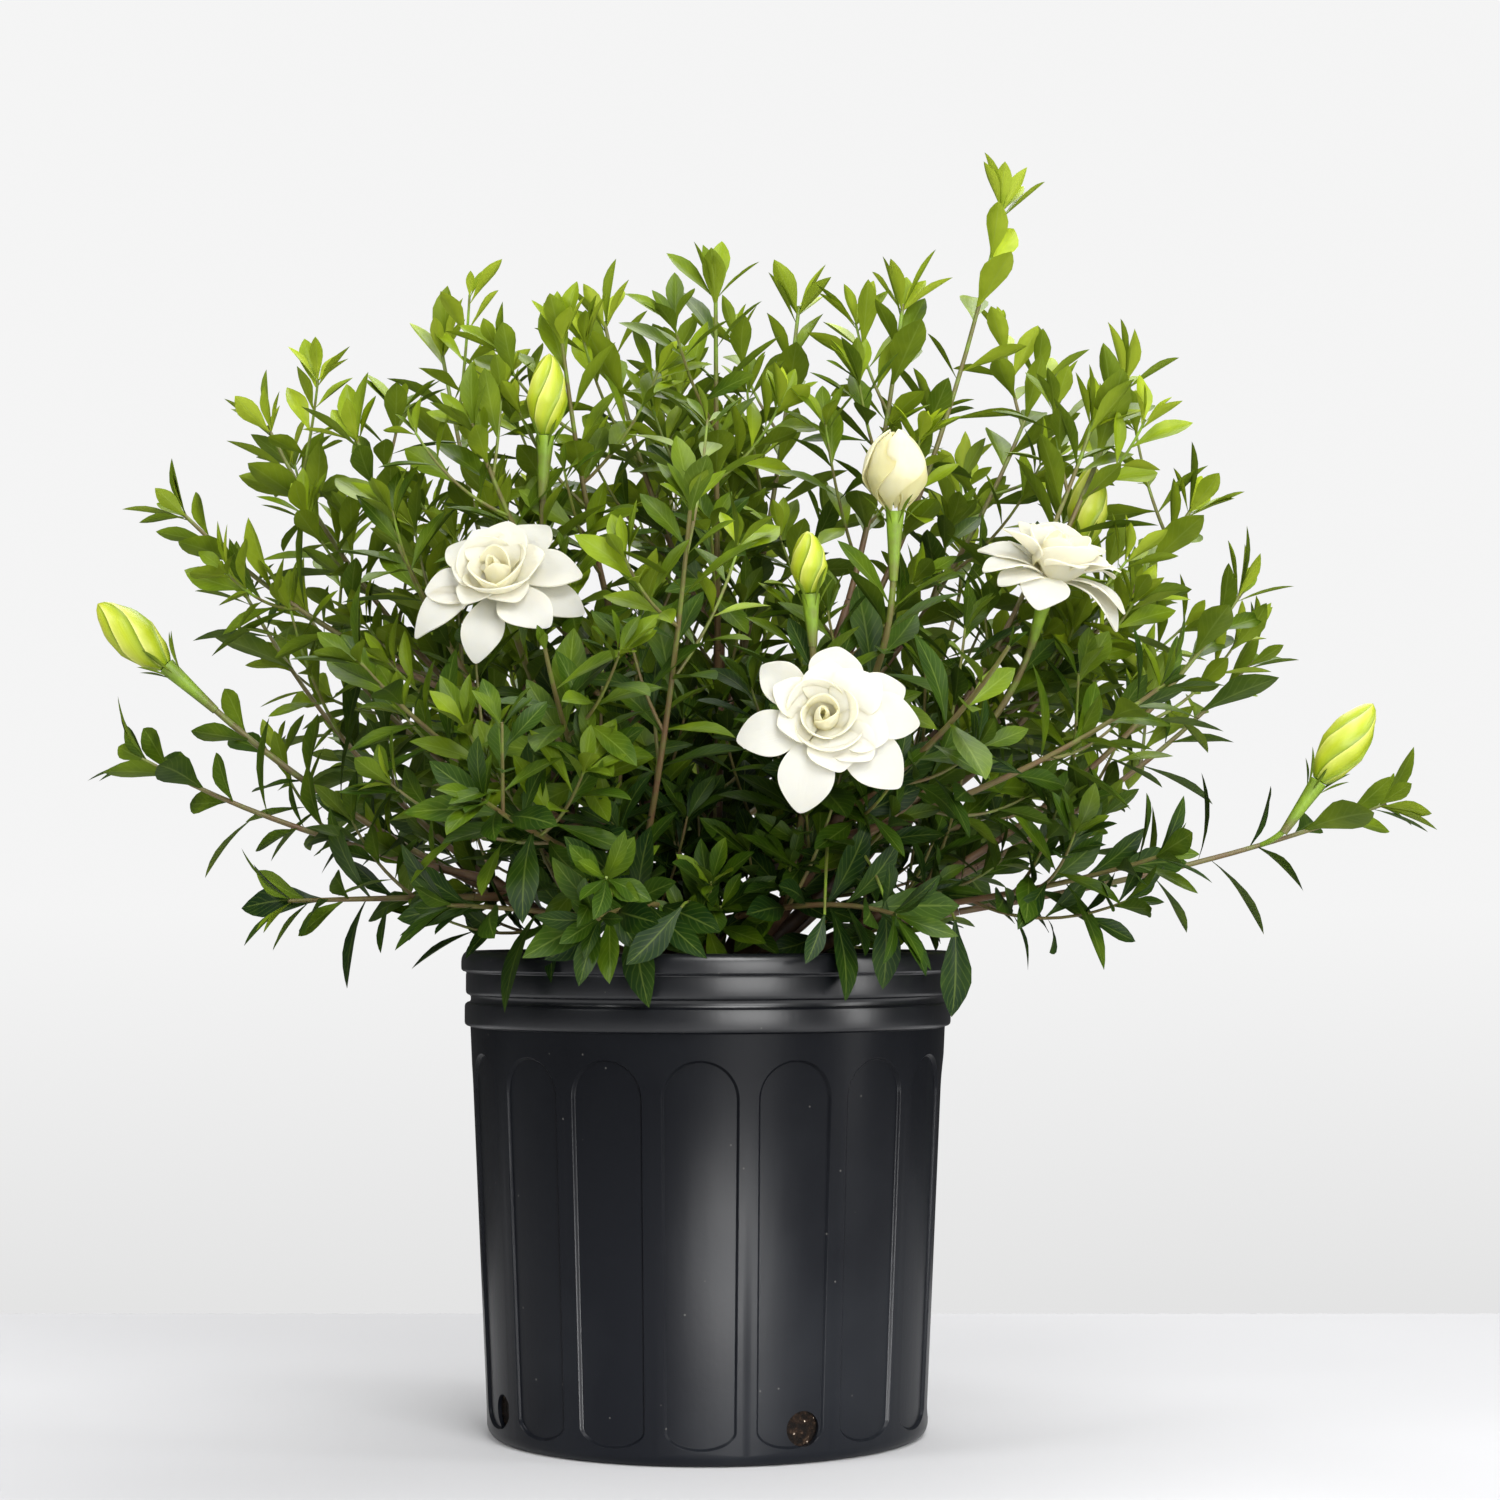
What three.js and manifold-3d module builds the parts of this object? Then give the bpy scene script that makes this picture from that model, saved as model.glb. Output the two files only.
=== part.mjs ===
// Potted gardenia: a fluted nursery pot filled with potting soil, and a bush of leafy shoots with
// three open blooms, one opening bud and five green buds. Millimetres, +Z up. The origin is the
// middle of the pot's flat base, and the side with the front bloom faces -Y.
import * as THREE from 'three';
import { mergeVertices } from 'three/addons/utils/BufferGeometryUtils.js';
import Module from 'manifold-3d';

const wasm = await Module();
wasm.setup();

// Driving dimensions of the pot
const potHeight = 223;
const lipRadius = 115;
const lipBottom = 213.5;
const lipThickness = 4.5;
const collarRadius = 112.7;
const grooveRadius = 110.4;
const grooveTop = 202.5;
const grooveBottom = 199.5;
const beadRadius = 113.2;
const beadBottom = 188;
const wallTopRadius = 110.6;
const wallBottomRadius = 102.1;
const wallThickness = 3.2;
const baseEdge = 5;
const floorThickness = 3;
const potSides = 32;

// The pressed panels round the wall, and the drain holes low in it
const panelCount = 16;
const panelTurn = -1;
const panelDepth = 1.4;
const panelTop = 177;
const panelBottom = 7;
const panelBend = 9;
const panelTopWidth = 35.2;
const panelBottomWidth = 32.6;
const drainCount = 4;
const drainTurn = 25;
const drainRadius = 7.7;
const drainHeight = 15.7;

// Soil and trunk
const soilEdgeHeight = 201;
const soilMiddleHeight = 205;
const soilMoundRadii = [70, 35];
const soilSides = 24;
const soilGap = 0.5;
const trunkRadius = 9;
const trunkBottom = 172;
const trunkTop = 216;
const trunkSides = 10;
const seatGap = 0.3;

// Wood and green stems. A shoot is woody for its first share of length and green beyond it.
const limbStartHeight = 209;
const limbStartShare = 0.05;
const limbRadii = [4.4, 2.7];
const limbSides = 4;
const limbSteps = 3;
const woodRadii = [2.4, 1.7];
const greenRadii = [1.6, 1.0];
const stemSides = 3;
const greenSteps = 3;
const woodShare = 0.16;
const startStep = 0.13;
const outwardShare = 0.6;
const upwardShare = 0.35;
const stalkShare = 0.45;

// Leaves
const leafPairs = 4;
const leafLengths = [38, 43, 41, 31];
const leafAngles = [64, 54, 46, 27];
const leafPlaces = [0.26, 0.52, 0.76, 0.96];
const leafThickness = 1.1;
const leafFoot = 0.3;
const pairStagger = 0.025;
const leafGap = 0.5;
const ownLeafGap = 0.1;
const stalkLeafReach = 0.95;
const leafTurns = [0, 24, -24, 48, -48, 72, -72];
const leafLight = 0.6;
const simplifyWithin = 0.15;

// A stem is swung to one of these sides, in mm, where it would run into another
const stemSwings = [0, 14, -14, 28, -28, 42, -42];
const stemGap = 0.8;

// Each blade form gives how far the tip bends back, how far the sides fold up, and the half widths
// at its widest place and at its shoulder, all as shares of the blade's length.
const leafForms = {
  young: { droop: 0.05, fold: 0.4, wide: [0.52, 0.15], shoulder: [0.8, 0.115] },
  grown: { droop: 0.16, fold: 0.26, wide: [0.52, 0.165], shoulder: [0.8, 0.125] },
  old: { droop: 0.3, fold: 0.15, wide: [0.5, 0.175], shoulder: [0.8, 0.13] },
};
const petalForms = {
  outer: { droop: 0.24, fold: -0.1, wide: [0.52, 0.26], shoulder: [0.86, 0.25] },
  middle: { droop: 0.1, fold: 0.1, wide: [0.52, 0.29], shoulder: [0.86, 0.27] },
  inner: { droop: -0.22, fold: 0.3, wide: [0.52, 0.34], shoulder: [0.86, 0.3] },
};

// Petal layers of an open bloom: form, how many, length, lift from the flower's plane in degrees,
// and the turn of the layer
const petalLayers = [
  { form: petalForms.outer, count: 6, length: 40, lift: 6, turn: 15, foot: 2 },
  { form: petalForms.middle, count: 6, length: 33, lift: 34, turn: 45, foot: 2.5 },
  { form: petalForms.inner, count: 4, length: 24, lift: 58, turn: 20, foot: 3 },
];
const petalThickness = 1.3;

// The tightly wound middle of a bloom, and the wound petals of the buds
const bloomHeart = { foot: -3, length: 21, radius: 6.5, petals: 3, step: 0.22, twist: 1.2, sides: 6 };
const openingWrap = { foot: 0, petals: 5, step: 0.18, twist: 0.9, sides: 15 };
const budWrap = { foot: 0, petals: 6, step: 0.16, twist: 1.6, sides: 12 };
const spindleStations = [0, 0.18, 0.42, 0.68, 0.88, 1];
const spindleWidths = [0.34, 0.76, 1, 0.86, 0.48, 0];

// The green tube under a flower, with its narrow calyx lobes
const flowerFoot = { bloom: -3, opening: 0, bud: 0 };
const lobeLean = { bloom: 0.2, opening: 0.75, bud: 0.75 };
const tubeTopRadius = 3.9;
const tubeSides = 6;
const lobeCount = 4;
const lobeLength = 15;
const lobeRadius = 1.3;
const lobeDrop = 8;
const lobeOut = 1.2;
const stalkSink = 3;
const fusedDepth = 1;

// No leaf hangs in the space before an open bloom
const bloomReach = 41;
const bloomView = 130;

// Flowers: where the petals or the bud start, the way the flower faces, its length and radius, and
// the length of the green tube under it. The fused bud is one piece with its shoot.
const flowers = {
  bloom_left: { kind: 'bloom', at: [-91, -90, 386], facing: [-0.15, -0.75, 0.6], tube: 26 },
  bloom_front: { kind: 'bloom', at: [51, -146, 322], facing: [0, -0.96, 0.28], tube: 24 },
  bloom_right: { kind: 'bloom', at: [156, -60, 392], facing: [0.25, -0.35, 0.9], tube: 26 },
  bud_opening: {
    kind: 'opening', at: [84, -90, 419], facing: [0.02, -0.1, 1], size: [36, 14.4], tube: 26,
  },
  bud_top_left: {
    kind: 'bud', at: [-73, -60, 457], facing: [0.05, -0.05, 1], size: [37, 9], tube: 24,
  },
  bud_front: {
    kind: 'bud', at: [46, -112, 380], facing: [-0.05, -0.1, 1], size: [27, 8], tube: 18,
  },
  bud_far_left: {
    kind: 'bud', at: [-253, -10, 356], facing: [-0.74, -0.05, 0.67], size: [43, 10.5], tube: 26,
  },
  bud_far_right: {
    kind: 'bud', at: [285, -10, 302], facing: [0.57, -0.05, 0.82], size: [44, 10.5], tube: 24,
  },
  bud_back_right: {
    kind: 'bud', at: [177, 2, 414], facing: [0.12, 0, 1], size: [38, 9.5], tube: 22, fused: true,
  },
};

// The limbs of the bush, each from the trunk to its head, with the tips of the shoots that it
// carries and the flowers on stalks of their own. A fourth number lifts the middle of a shoot.
const limbs = [
  {
    head: [-100, -12, 256],
    tips: [[-262, -20, 312], [-188, -60, 246], [-226, 50, 396]],
    flowers: ['bud_far_left'],
  },
  {
    head: [-85, 70, 285],
    tips: [[-205, 118, 392], [-180, 160, 300], [-135, 190, 410]],
    flowers: [],
  },
  {
    head: [-85, 0, 330],
    tips: [[-248, 0, 429], [-214, 40, 476], [-160, -55, 458], [-132, 60, 518]],
    flowers: [],
  },
  {
    head: [-40, -5, 362],
    tips: [[-66, -60, 503], [-105, -75, 460]],
    flowers: ['bud_top_left'],
  },
  {
    head: [5, 30, 370],
    tips: [[-51, 40, 527], [4, -50, 525], [44, 75, 541], [-25, 125, 500]],
    flowers: [],
  },
  {
    head: [60, -5, 368],
    tips: [[92, 0, 528], [142, 25, 583], [165, 85, 507]],
    flowers: ['bud_opening'],
  },
  {
    head: [105, 5, 322],
    tips: [[198, 0, 493], [231, 20, 434], [180, -20, 470]],
    flowers: ['bud_back_right'],
  },
  {
    head: [105, -10, 256],
    tips: [[247, -30, 389], [262, 40, 362], [203, -70, 266], [318, 0, 292]],
    flowers: [],
  },
  {
    head: [60, -70, 285],
    tips: [[128, -170, 352], [200, -115, 340]],
    flowers: ['bloom_right', 'bloom_front', 'bud_front'],
  },
  {
    head: [-48, -65, 285],
    tips: [[-66, -170, 351], [-150, -125, 350], [-92, -165, 288], [-5, -165, 415]],
    flowers: ['bloom_left'],
  },
  {
    head: [0, 80, 290],
    tips: [[-60, 215, 335], [70, 215, 350], [5, 185, 465]],
    flowers: [],
  },
  {
    head: [92, 72, 290],
    tips: [[212, 112, 395], [185, 158, 300], [135, 185, 430]],
    flowers: [],
  },
  {
    head: [0, -48, 240],
    tips: [[-45, -138, 238, 10], [83, -112, 240, 14], [-112, -108, 244, 8]],
    flowers: [],
  },
];

// The bud at the far right stands on a side stalk of the shoot with this tip
const sideBud = {
  name: 'bud_far_right',
  shootTip: [318, 0, 292],
  place: 0.72,
  radii: [1.2, 1.6],
};

// Colours and finishes
const finishes = {
  pot: { color: 0x17191c, roughness: 0.42, metalness: 0 },
  soil: { color: 0x2b1c12, roughness: 1, metalness: 0 },
  wood: { color: 0x6b4a2c, roughness: 0.85, metalness: 0 },
  youngLeaf: { color: 0x7da53a, roughness: 0.45, metalness: 0 },
  leaf: { color: 0x4d7a24, roughness: 0.4, metalness: 0 },
  oldLeaf: { color: 0x1f4a1a, roughness: 0.32, metalness: 0 },
  petal: { color: 0xf7f4e8, roughness: 0.6, metalness: 0 },
  bud: { color: 0xa6c23e, roughness: 0.5, metalness: 0 },
};
const youngHeight = 470;
const oldHeight = 275;

const group = new THREE.Group();
const degree = Math.PI / 180;
const zAxis = new THREE.Vector3(0, 0, 1);

// Solids from geometry, and meshes from solids

// Turns a closed geometry into a solid. Faces that close up to nothing at a pole are left out.
function solidFrom(geometry) {
  geometry.deleteAttribute('normal');
  geometry.deleteAttribute('uv');
  const merged = mergeVertices(geometry, 1e-4);
  const corners = [];
  const index = merged.index.array;
  for (let i = 0; i < index.length; i += 3) {
    const [a, b, c] = [index[i], index[i + 1], index[i + 2]];
    if (a !== b && b !== c && c !== a) corners.push(a, b, c);
  }
  const solid = new wasm.Manifold(new wasm.Mesh({
    numProp: 3,
    vertProperties: new Float32Array(merged.attributes.position.array),
    triVerts: new Uint32Array(corners),
  }));
  if (solid.volume() <= 0) throw new Error('a solid is inside out');
  return solid;
}

function addMesh(name, solid, finish) {
  const mesh = solid.asOriginal().simplify(simplifyWithin).getMesh();
  const geometry = new THREE.BufferGeometry();
  geometry.setAttribute('position', new THREE.BufferAttribute(new Float32Array(mesh.vertProperties), 3));
  geometry.setIndex(new THREE.BufferAttribute(new Uint32Array(mesh.triVerts), 1));
  geometry.computeVertexNormals();
  const part = new THREE.Mesh(geometry, new THREE.MeshStandardMaterial(finish));
  part.name = name;
  group.add(part);
}

// A turned shape about Z from [radius, height] pairs, which run from the axis round to the axis
function turned(profile, sides) {
  const points = profile.map(([radius, height]) => new THREE.Vector2(radius, height));
  const geometry = new THREE.LatheGeometry(points, sides);
  geometry.rotateX(Math.PI / 2);
  return geometry;
}

// Pot

function wallRadius(height) {
  const share = (height - baseEdge) / (beadBottom - baseEdge);
  return THREE.MathUtils.lerp(wallBottomRadius, wallTopRadius, share);
}

// The arch of one pressed panel, with the broad bend of its lower end
function panelShape() {
  const topHalf = panelTopWidth / 2;
  const bottomHalf = panelBottomWidth / 2;
  const shape = new THREE.Shape();
  shape.moveTo(bottomHalf, panelBottom + panelBend);
  shape.lineTo(topHalf, panelTop - topHalf);
  shape.absarc(0, panelTop - topHalf, topHalf, 0, Math.PI, false);
  shape.lineTo(-bottomHalf, panelBottom + panelBend);
  shape.absellipse(0, panelBottom + panelBend, bottomHalf, panelBend, Math.PI, 2 * Math.PI, false);
  return shape;
}

function panelCutters() {
  const reach = 40;
  const cut = { depth: reach, bevelEnabled: false, curveSegments: 4 };
  const prisms = [];
  for (let i = 0; i < panelCount; i++) {
    const prism = new THREE.ExtrudeGeometry(panelShape(), cut);
    prism.rotateX(Math.PI / 2);
    prism.translate(0, -(wallBottomRadius - reach / 2), 0);
    prism.rotateZ((i * 360 / panelCount + panelTurn) * degree);
    prisms.push(solidFrom(prism));
  }
  const coreProfile = [
    [0, -1],
    [wallRadius(-1) - panelDepth, -1],
    [wallRadius(potHeight) - panelDepth, potHeight],
    [0, potHeight],
  ];
  const core = turned(coreProfile, potSides);
  core.rotateZ((panelTurn + 180 / potSides) * degree);
  return wasm.Manifold.union(prisms).subtract(solidFrom(core));
}

function makePot() {
  const edge = [];
  const edgeSteps = 2;
  for (let i = 0; i <= edgeSteps; i++) {
    const angle = (i / edgeSteps) * Math.PI / 2;
    const inset = baseEdge * (1 - Math.sin(angle));
    edge.push([wallBottomRadius - inset, baseEdge * (1 - Math.cos(angle))]);
  }
  const profile = [
    [0, 0],
    ...edge,
    [wallTopRadius, beadBottom - 0.8],
    [beadRadius, beadBottom + 0.8],
    [beadRadius, grooveBottom - 0.6],
    [grooveRadius, grooveBottom + 0.6],
    [grooveRadius, grooveTop - 0.6],
    [collarRadius, grooveTop + 0.6],
    [collarRadius, lipBottom - 0.6],
    [lipRadius, lipBottom + 0.6],
    [lipRadius, potHeight - 1.5],
    [lipRadius - 1.5, potHeight],
    [lipRadius - lipThickness, potHeight],
    [wallRadius(potHeight) - wallThickness - 1, lipBottom],
    [wallRadius(floorThickness) - wallThickness, floorThickness],
    [0, floorThickness],
  ];
  const body = turned(profile, potSides);
  body.rotateZ((panelTurn + 180 / potSides) * degree);
  let pot = solidFrom(body).subtract(panelCutters());
  for (let i = 0; i < drainCount; i++) {
    const drain = new THREE.CylinderGeometry(drainRadius, drainRadius, 40, 12);
    drain.translate(0, -wallBottomRadius, drainHeight);
    drain.rotateZ((drainTurn + i * 360 / drainCount) * degree);
    pot = pot.subtract(solidFrom(drain));
  }
  return pot;
}

// Soil

function makeSoil(trunkHole) {
  const innerRadius = (height) => {
    const share = (height - floorThickness) / (lipBottom - floorThickness);
    const low = wallRadius(floorThickness) - wallThickness;
    const high = wallRadius(potHeight) - wallThickness - 1;
    return THREE.MathUtils.lerp(low, high, share) - soilGap;
  };
  const soilBottom = floorThickness + seatGap;
  const profile = [
    [0, soilBottom],
    [innerRadius(soilBottom), soilBottom],
    [innerRadius(soilEdgeHeight), soilEdgeHeight],
    [soilMoundRadii[0], soilMiddleHeight - 1],
    [soilMoundRadii[1], soilMiddleHeight],
    [0, soilMiddleHeight],
  ];
  const geometry = turned(profile, soilSides);
  geometry.rotateZ((panelTurn + 180 / potSides) * degree);
  return solidFrom(geometry).subtract(trunkHole);
}

// Stems

// A quadratic curve with its exact direction, so that what grows on it can be placed again
class Stem {
  constructor(start, middle, end) {
    this.start = start;
    this.middle = middle;
    this.end = end;
    const chord = end.clone().sub(start).normalize();
    const level = Math.abs(chord.z) < 0.95 ? zAxis : new THREE.Vector3(1, 0, 0);
    this.side = new THREE.Vector3().crossVectors(chord, level).normalize();
    this.lift = new THREE.Vector3().crossVectors(this.side, chord).normalize();
  }

  point(t) {
    return this.start.clone().multiplyScalar((1 - t) ** 2)
      .addScaledVector(this.middle, 2 * t * (1 - t))
      .addScaledVector(this.end, t ** 2);
  }

  // The point at t on the straight runs of a rod along this stem, which has a few steps
  rodPoint(t, from, steps) {
    const run = Math.min(Math.floor((t - from) / (1 - from) * steps), steps - 1);
    const low = from + (1 - from) * run / steps;
    const high = from + (1 - from) * (run + 1) / steps;
    return this.point(low).lerp(this.point(high), (t - low) / (high - low));
  }

  slope(t) {
    return this.middle.clone().sub(this.start).multiplyScalar(2 * (1 - t))
      .addScaledVector(this.end.clone().sub(this.middle), 2 * t);
  }

  // The direction square to the stem at t, turned round it by an angle from its level side
  across(t, angle) {
    const along = this.slope(t).normalize();
    const out = this.side.clone().multiplyScalar(Math.cos(angle))
      .addScaledVector(this.lift, Math.sin(angle));
    return out.addScaledVector(along, -out.dot(along)).normalize();
  }
}

// A tapered round rod along a stretch of a stem, bent from a cylinder
function rod(stem, [from, to], [startRadius, endRadius], sides, steps) {
  const geometry = new THREE.CylinderGeometry(endRadius, startRadius, 1, sides, steps);
  const place = geometry.attributes.position;
  for (let i = 0; i < place.count; i++) {
    const t = THREE.MathUtils.lerp(from, to, place.getY(i) + 0.5);
    const along = stem.slope(t).normalize();
    const side = stem.across(t, 0);
    const other = new THREE.Vector3().crossVectors(side, along);
    const point = stem.point(t)
      .addScaledVector(side, place.getX(i))
      .addScaledVector(other, place.getZ(i));
    place.setXYZ(i, point.x, point.y, point.z);
  }
  return solidFrom(geometry);
}

// A cone or cylinder set along a direction, from its foot
function peg(foot, direction, [startRadius, endRadius], length, sides) {
  const geometry = new THREE.CylinderGeometry(endRadius, startRadius, length, sides);
  const upright = new THREE.Vector3(0, 1, 0);
  geometry.translate(0, length / 2, 0);
  geometry.applyQuaternion(new THREE.Quaternion().setFromUnitVectors(upright, direction));
  geometry.translate(foot.x, foot.y, foot.z);
  return solidFrom(geometry);
}

// Blades

// One leaf or petal: a foot edge, its widest place and its shoulder with sharp sides, a ridge above
// and below at the widest place, and the tip. It bends back along its length and folds up its ridge.
function bladePoints(root, along, face, length, thickness, form, footWay = face) {
  const across = new THREE.Vector3().crossVectors(along, face).normalize();
  const ridge = (s) => root.clone()
    .addScaledVector(along, length * s)
    .addScaledVector(face, -length * form.droop * s * s);
  const side = ([s, halfWidth], sign) => ridge(s)
    .addScaledVector(across, sign * halfWidth * length)
    .addScaledVector(face, form.fold * halfWidth * length);
  const half = thickness / 2;
  return [
    root.clone().addScaledVector(footWay, half),
    root.clone().addScaledVector(footWay, -half),
    side(form.wide, -1),
    side(form.wide, 1),
    ridge(form.wide[0]).addScaledVector(face, half),
    ridge(form.wide[0]).addScaledVector(face, -half),
    side(form.shoulder, -1),
    side(form.shoulder, 1),
    ridge(1),
  ];
}

const bladeFaces = [
  0, 4, 2, 0, 3, 4, 4, 6, 2, 4, 8, 6, 4, 7, 8, 4, 3, 7,
  1, 2, 5, 1, 5, 3, 5, 2, 6, 5, 6, 8, 5, 8, 7, 5, 7, 3,
  0, 2, 1, 0, 1, 3,
];

function blade(points) {
  const geometry = new THREE.BufferGeometry().setFromPoints(points);
  geometry.setIndex(bladeFaces);
  return solidFrom(geometry);
}

// Seeded draws, from 0 to 1
class Draws {
  constructor(seed) {
    this.state = seed >>> 0;
  }

  next() {
    this.state = (Math.imul(this.state, 1664525) + 1013904223) >>> 0;
    return this.state / 4294967296;
  }

  // A value either side of zero, up to the spread
  spread(amount) {
    return (this.next() * 2 - 1) * amount;
  }
}

// Clearance

const bodies = [];

function keep(solid, owner, pair) {
  bodies.push({ solid, owner, pair, box: solid.boundingBox() });
}

function near(a, b, gap) {
  for (let axis = 0; axis < 3; axis++) {
    if (a.min[axis] - gap > b.max[axis] || b.min[axis] - gap > a.max[axis]) return false;
  }
  return true;
}

function isClear(solid, gap, spared) {
  const box = solid.boundingBox();
  return bodies.every((body) => spared(body) || !near(box, body.box, gap)
    || solid.minGap(body.solid, gap) >= gap);
}

// Open blooms keep the space before them free, so that no leaf hangs across their faces
function beforeBloom(point) {
  return Object.values(flowers).some((flower) => {
    if (flower.kind !== 'bloom') return false;
    const facing = new THREE.Vector3(...flower.facing).normalize();
    const offset = point.clone().sub(new THREE.Vector3(...flower.at));
    const ahead = offset.dot(facing);
    if (ahead < 2 || ahead > bloomView) return false;
    return offset.addScaledVector(facing, -ahead).length() < bloomReach;
  });
}

// Flowers

function flowerFrame(flower) {
  const at = new THREE.Vector3(...flower.at);
  const facing = new THREE.Vector3(...flower.facing).normalize();
  const level = Math.abs(facing.z) < 0.95 ? zAxis : new THREE.Vector3(0, 1, 0);
  const right = new THREE.Vector3().crossVectors(level, facing).normalize();
  const top = new THREE.Vector3().crossVectors(facing, right);
  return { at, facing, right, top };
}

// A bud or bloom heart: a spindle of overlapping petals that wind round it. Each petal's edge
// stands proud of the next by the step, and the edges turn by the twist from foot to tip.
function spindle(flower, { foot, length, radius, petals, step, twist, sides }) {
  const { at, facing, right, top } = flowerFrame(flower);
  const profile = spindleStations.map((s, i) => new THREE.Vector2(spindleWidths[i] * radius, s));
  const geometry = new THREE.LatheGeometry([new THREE.Vector2(0, 0), ...profile], sides);
  const place = geometry.attributes.position;
  for (let i = 0; i < place.count; i++) {
    const s = place.getY(i);
    const angle = Math.atan2(place.getX(i), place.getZ(i));
    const turns = petals * (angle / (2 * Math.PI) + 1) + 1e-4;
    const edge = turns - Math.floor(turns);
    const wide = Math.hypot(place.getX(i), place.getZ(i)) * (1 + step * (0.5 - edge));
    const turn = angle + twist * s;
    const point = at.clone()
      .addScaledVector(facing, foot + s * length)
      .addScaledVector(right, wide * Math.sin(turn))
      .addScaledVector(top, -wide * Math.cos(turn));
    place.setXYZ(i, point.x, point.y, point.z);
  }
  return solidFrom(geometry);
}

function makeBloom(flower) {
  const { at, facing, right, top } = flowerFrame(flower);
  const pieces = [spindle(flower, bloomHeart)];
  for (const layer of petalLayers) {
    for (let i = 0; i < layer.count; i++) {
      const angle = (layer.turn + i * 360 / layer.count) * degree;
      const lift = layer.lift * degree;
      const out = right.clone().multiplyScalar(Math.cos(angle)).addScaledVector(top, Math.sin(angle));
      const along = out.clone().multiplyScalar(Math.cos(lift)).addScaledVector(facing, Math.sin(lift));
      const face = facing.clone().multiplyScalar(Math.cos(lift)).addScaledVector(out, -Math.sin(lift));
      const root = at.clone().addScaledVector(out, layer.foot);
      pieces.push(blade(bladePoints(root, along, face, layer.length, petalThickness, layer.form)));
    }
  }
  return wasm.Manifold.union(pieces);
}

function makeFlower(flower) {
  if (flower.kind === 'bloom') return makeBloom(flower);
  const [length, radius] = flower.size;
  const wrap = flower.kind === 'opening' ? openingWrap : budWrap;
  return spindle(flower, { ...wrap, length, radius });
}

// The tube and lobes under a flower, as solids, with the place where its stalk ends
function calyx(flower) {
  const { at, facing, right, top } = flowerFrame(flower);
  const tubeEnd = flowerFoot[flower.kind] + (flower.fused ? fusedDepth : -seatGap);
  const end = at.clone().addScaledVector(facing, tubeEnd);
  const foot = end.clone().addScaledVector(facing, -flower.tube);
  const sunk = foot.clone().addScaledVector(facing, -stalkSink);
  const tubeRadii = [greenRadii[0], tubeTopRadius];
  const pieces = [peg(sunk, facing, tubeRadii, flower.tube + stalkSink, tubeSides)];
  for (let i = 0; i < lobeCount; i++) {
    const angle = i * 2 * Math.PI / lobeCount;
    const out = right.clone().multiplyScalar(Math.cos(angle)).addScaledVector(top, Math.sin(angle));
    const way = out.clone().addScaledVector(facing, lobeLean[flower.kind]).normalize();
    const root = end.clone().addScaledVector(facing, -lobeDrop).addScaledVector(out, lobeOut);
    pieces.push(peg(root, way, [lobeRadius, 0], lobeLength, 3));
  }
  if (flower.fused) pieces.push(flower.solid);
  return { pieces, foot, facing };
}

// Wood

const trunk = new Stem(
  new THREE.Vector3(0, 0, trunkBottom),
  new THREE.Vector3(0, 0, (trunkBottom + trunkTop) / 2),
  new THREE.Vector3(0, 0, trunkTop),
);
const wood = [rod(trunk, [0, 1], [trunkRadius, trunkRadius - 1], trunkSides, 1)];
const holeRadius = trunkRadius + 2 * seatGap;
const trunkHole = rod(trunk, [-0.01, 1.2], [holeRadius, holeRadius], trunkSides, 1);

// A stem that sets out level and then turns up to its end, its middle swung or raised a little
function risingStem(start, end, raise, swing) {
  const span = end.clone().sub(start);
  const middle = start.clone().add(new THREE.Vector3(
    span.x * outwardShare,
    span.y * outwardShare,
    span.z * upwardShare + raise,
  ));
  const straight = new Stem(start, middle, end);
  return new Stem(start, middle.addScaledVector(straight.side, swing), end);
}

// A flower's stalk, which comes in along the way that the flower faces
function stalkStem(start, foot, facing, swing) {
  const reach = foot.distanceTo(start) * stalkShare;
  const middle = foot.clone().addScaledVector(facing, -reach);
  const straight = new Stem(start, middle, foot);
  return new Stem(start, middle.addScaledVector(straight.side, swing), foot);
}

const limbStems = limbs.map((limb) => {
  const head = new THREE.Vector3(...limb.head);
  const start = new THREE.Vector3(head.x * limbStartShare, head.y * limbStartShare, limbStartHeight);
  return risingStem(start, head, 0, 0);
});
for (const stem of limbStems) {
  const limb = rod(stem, [0, 1], limbRadii, limbSides, limbSteps);
  wood.push(limb);
  keep(limb, 'wood');
}

// Shoots

const pot = makePot();
const soil = makeSoil(trunkHole);
keep(pot, 'pot');
keep(soil, 'soil');
for (const [name, flower] of Object.entries(flowers)) {
  flower.solid = makeFlower(flower);
  keep(flower.solid, name);
}

const shoots = [];
limbs.forEach((limb, limbIndex) => {
  const places = [...limb.tips, ...limb.flowers];
  places.forEach((place, order) => {
    const number = shoots.length + 1;
    shoots.push({
      number,
      name: `shoot_${String(number).padStart(2, '0')}`,
      start: limbStems[limbIndex].point(1 - startStep * order),
      tip: typeof place === 'string' ? null : place,
      flower: typeof place === 'string' ? place : null,
      pieces: [],
    });
  });
});

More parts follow.
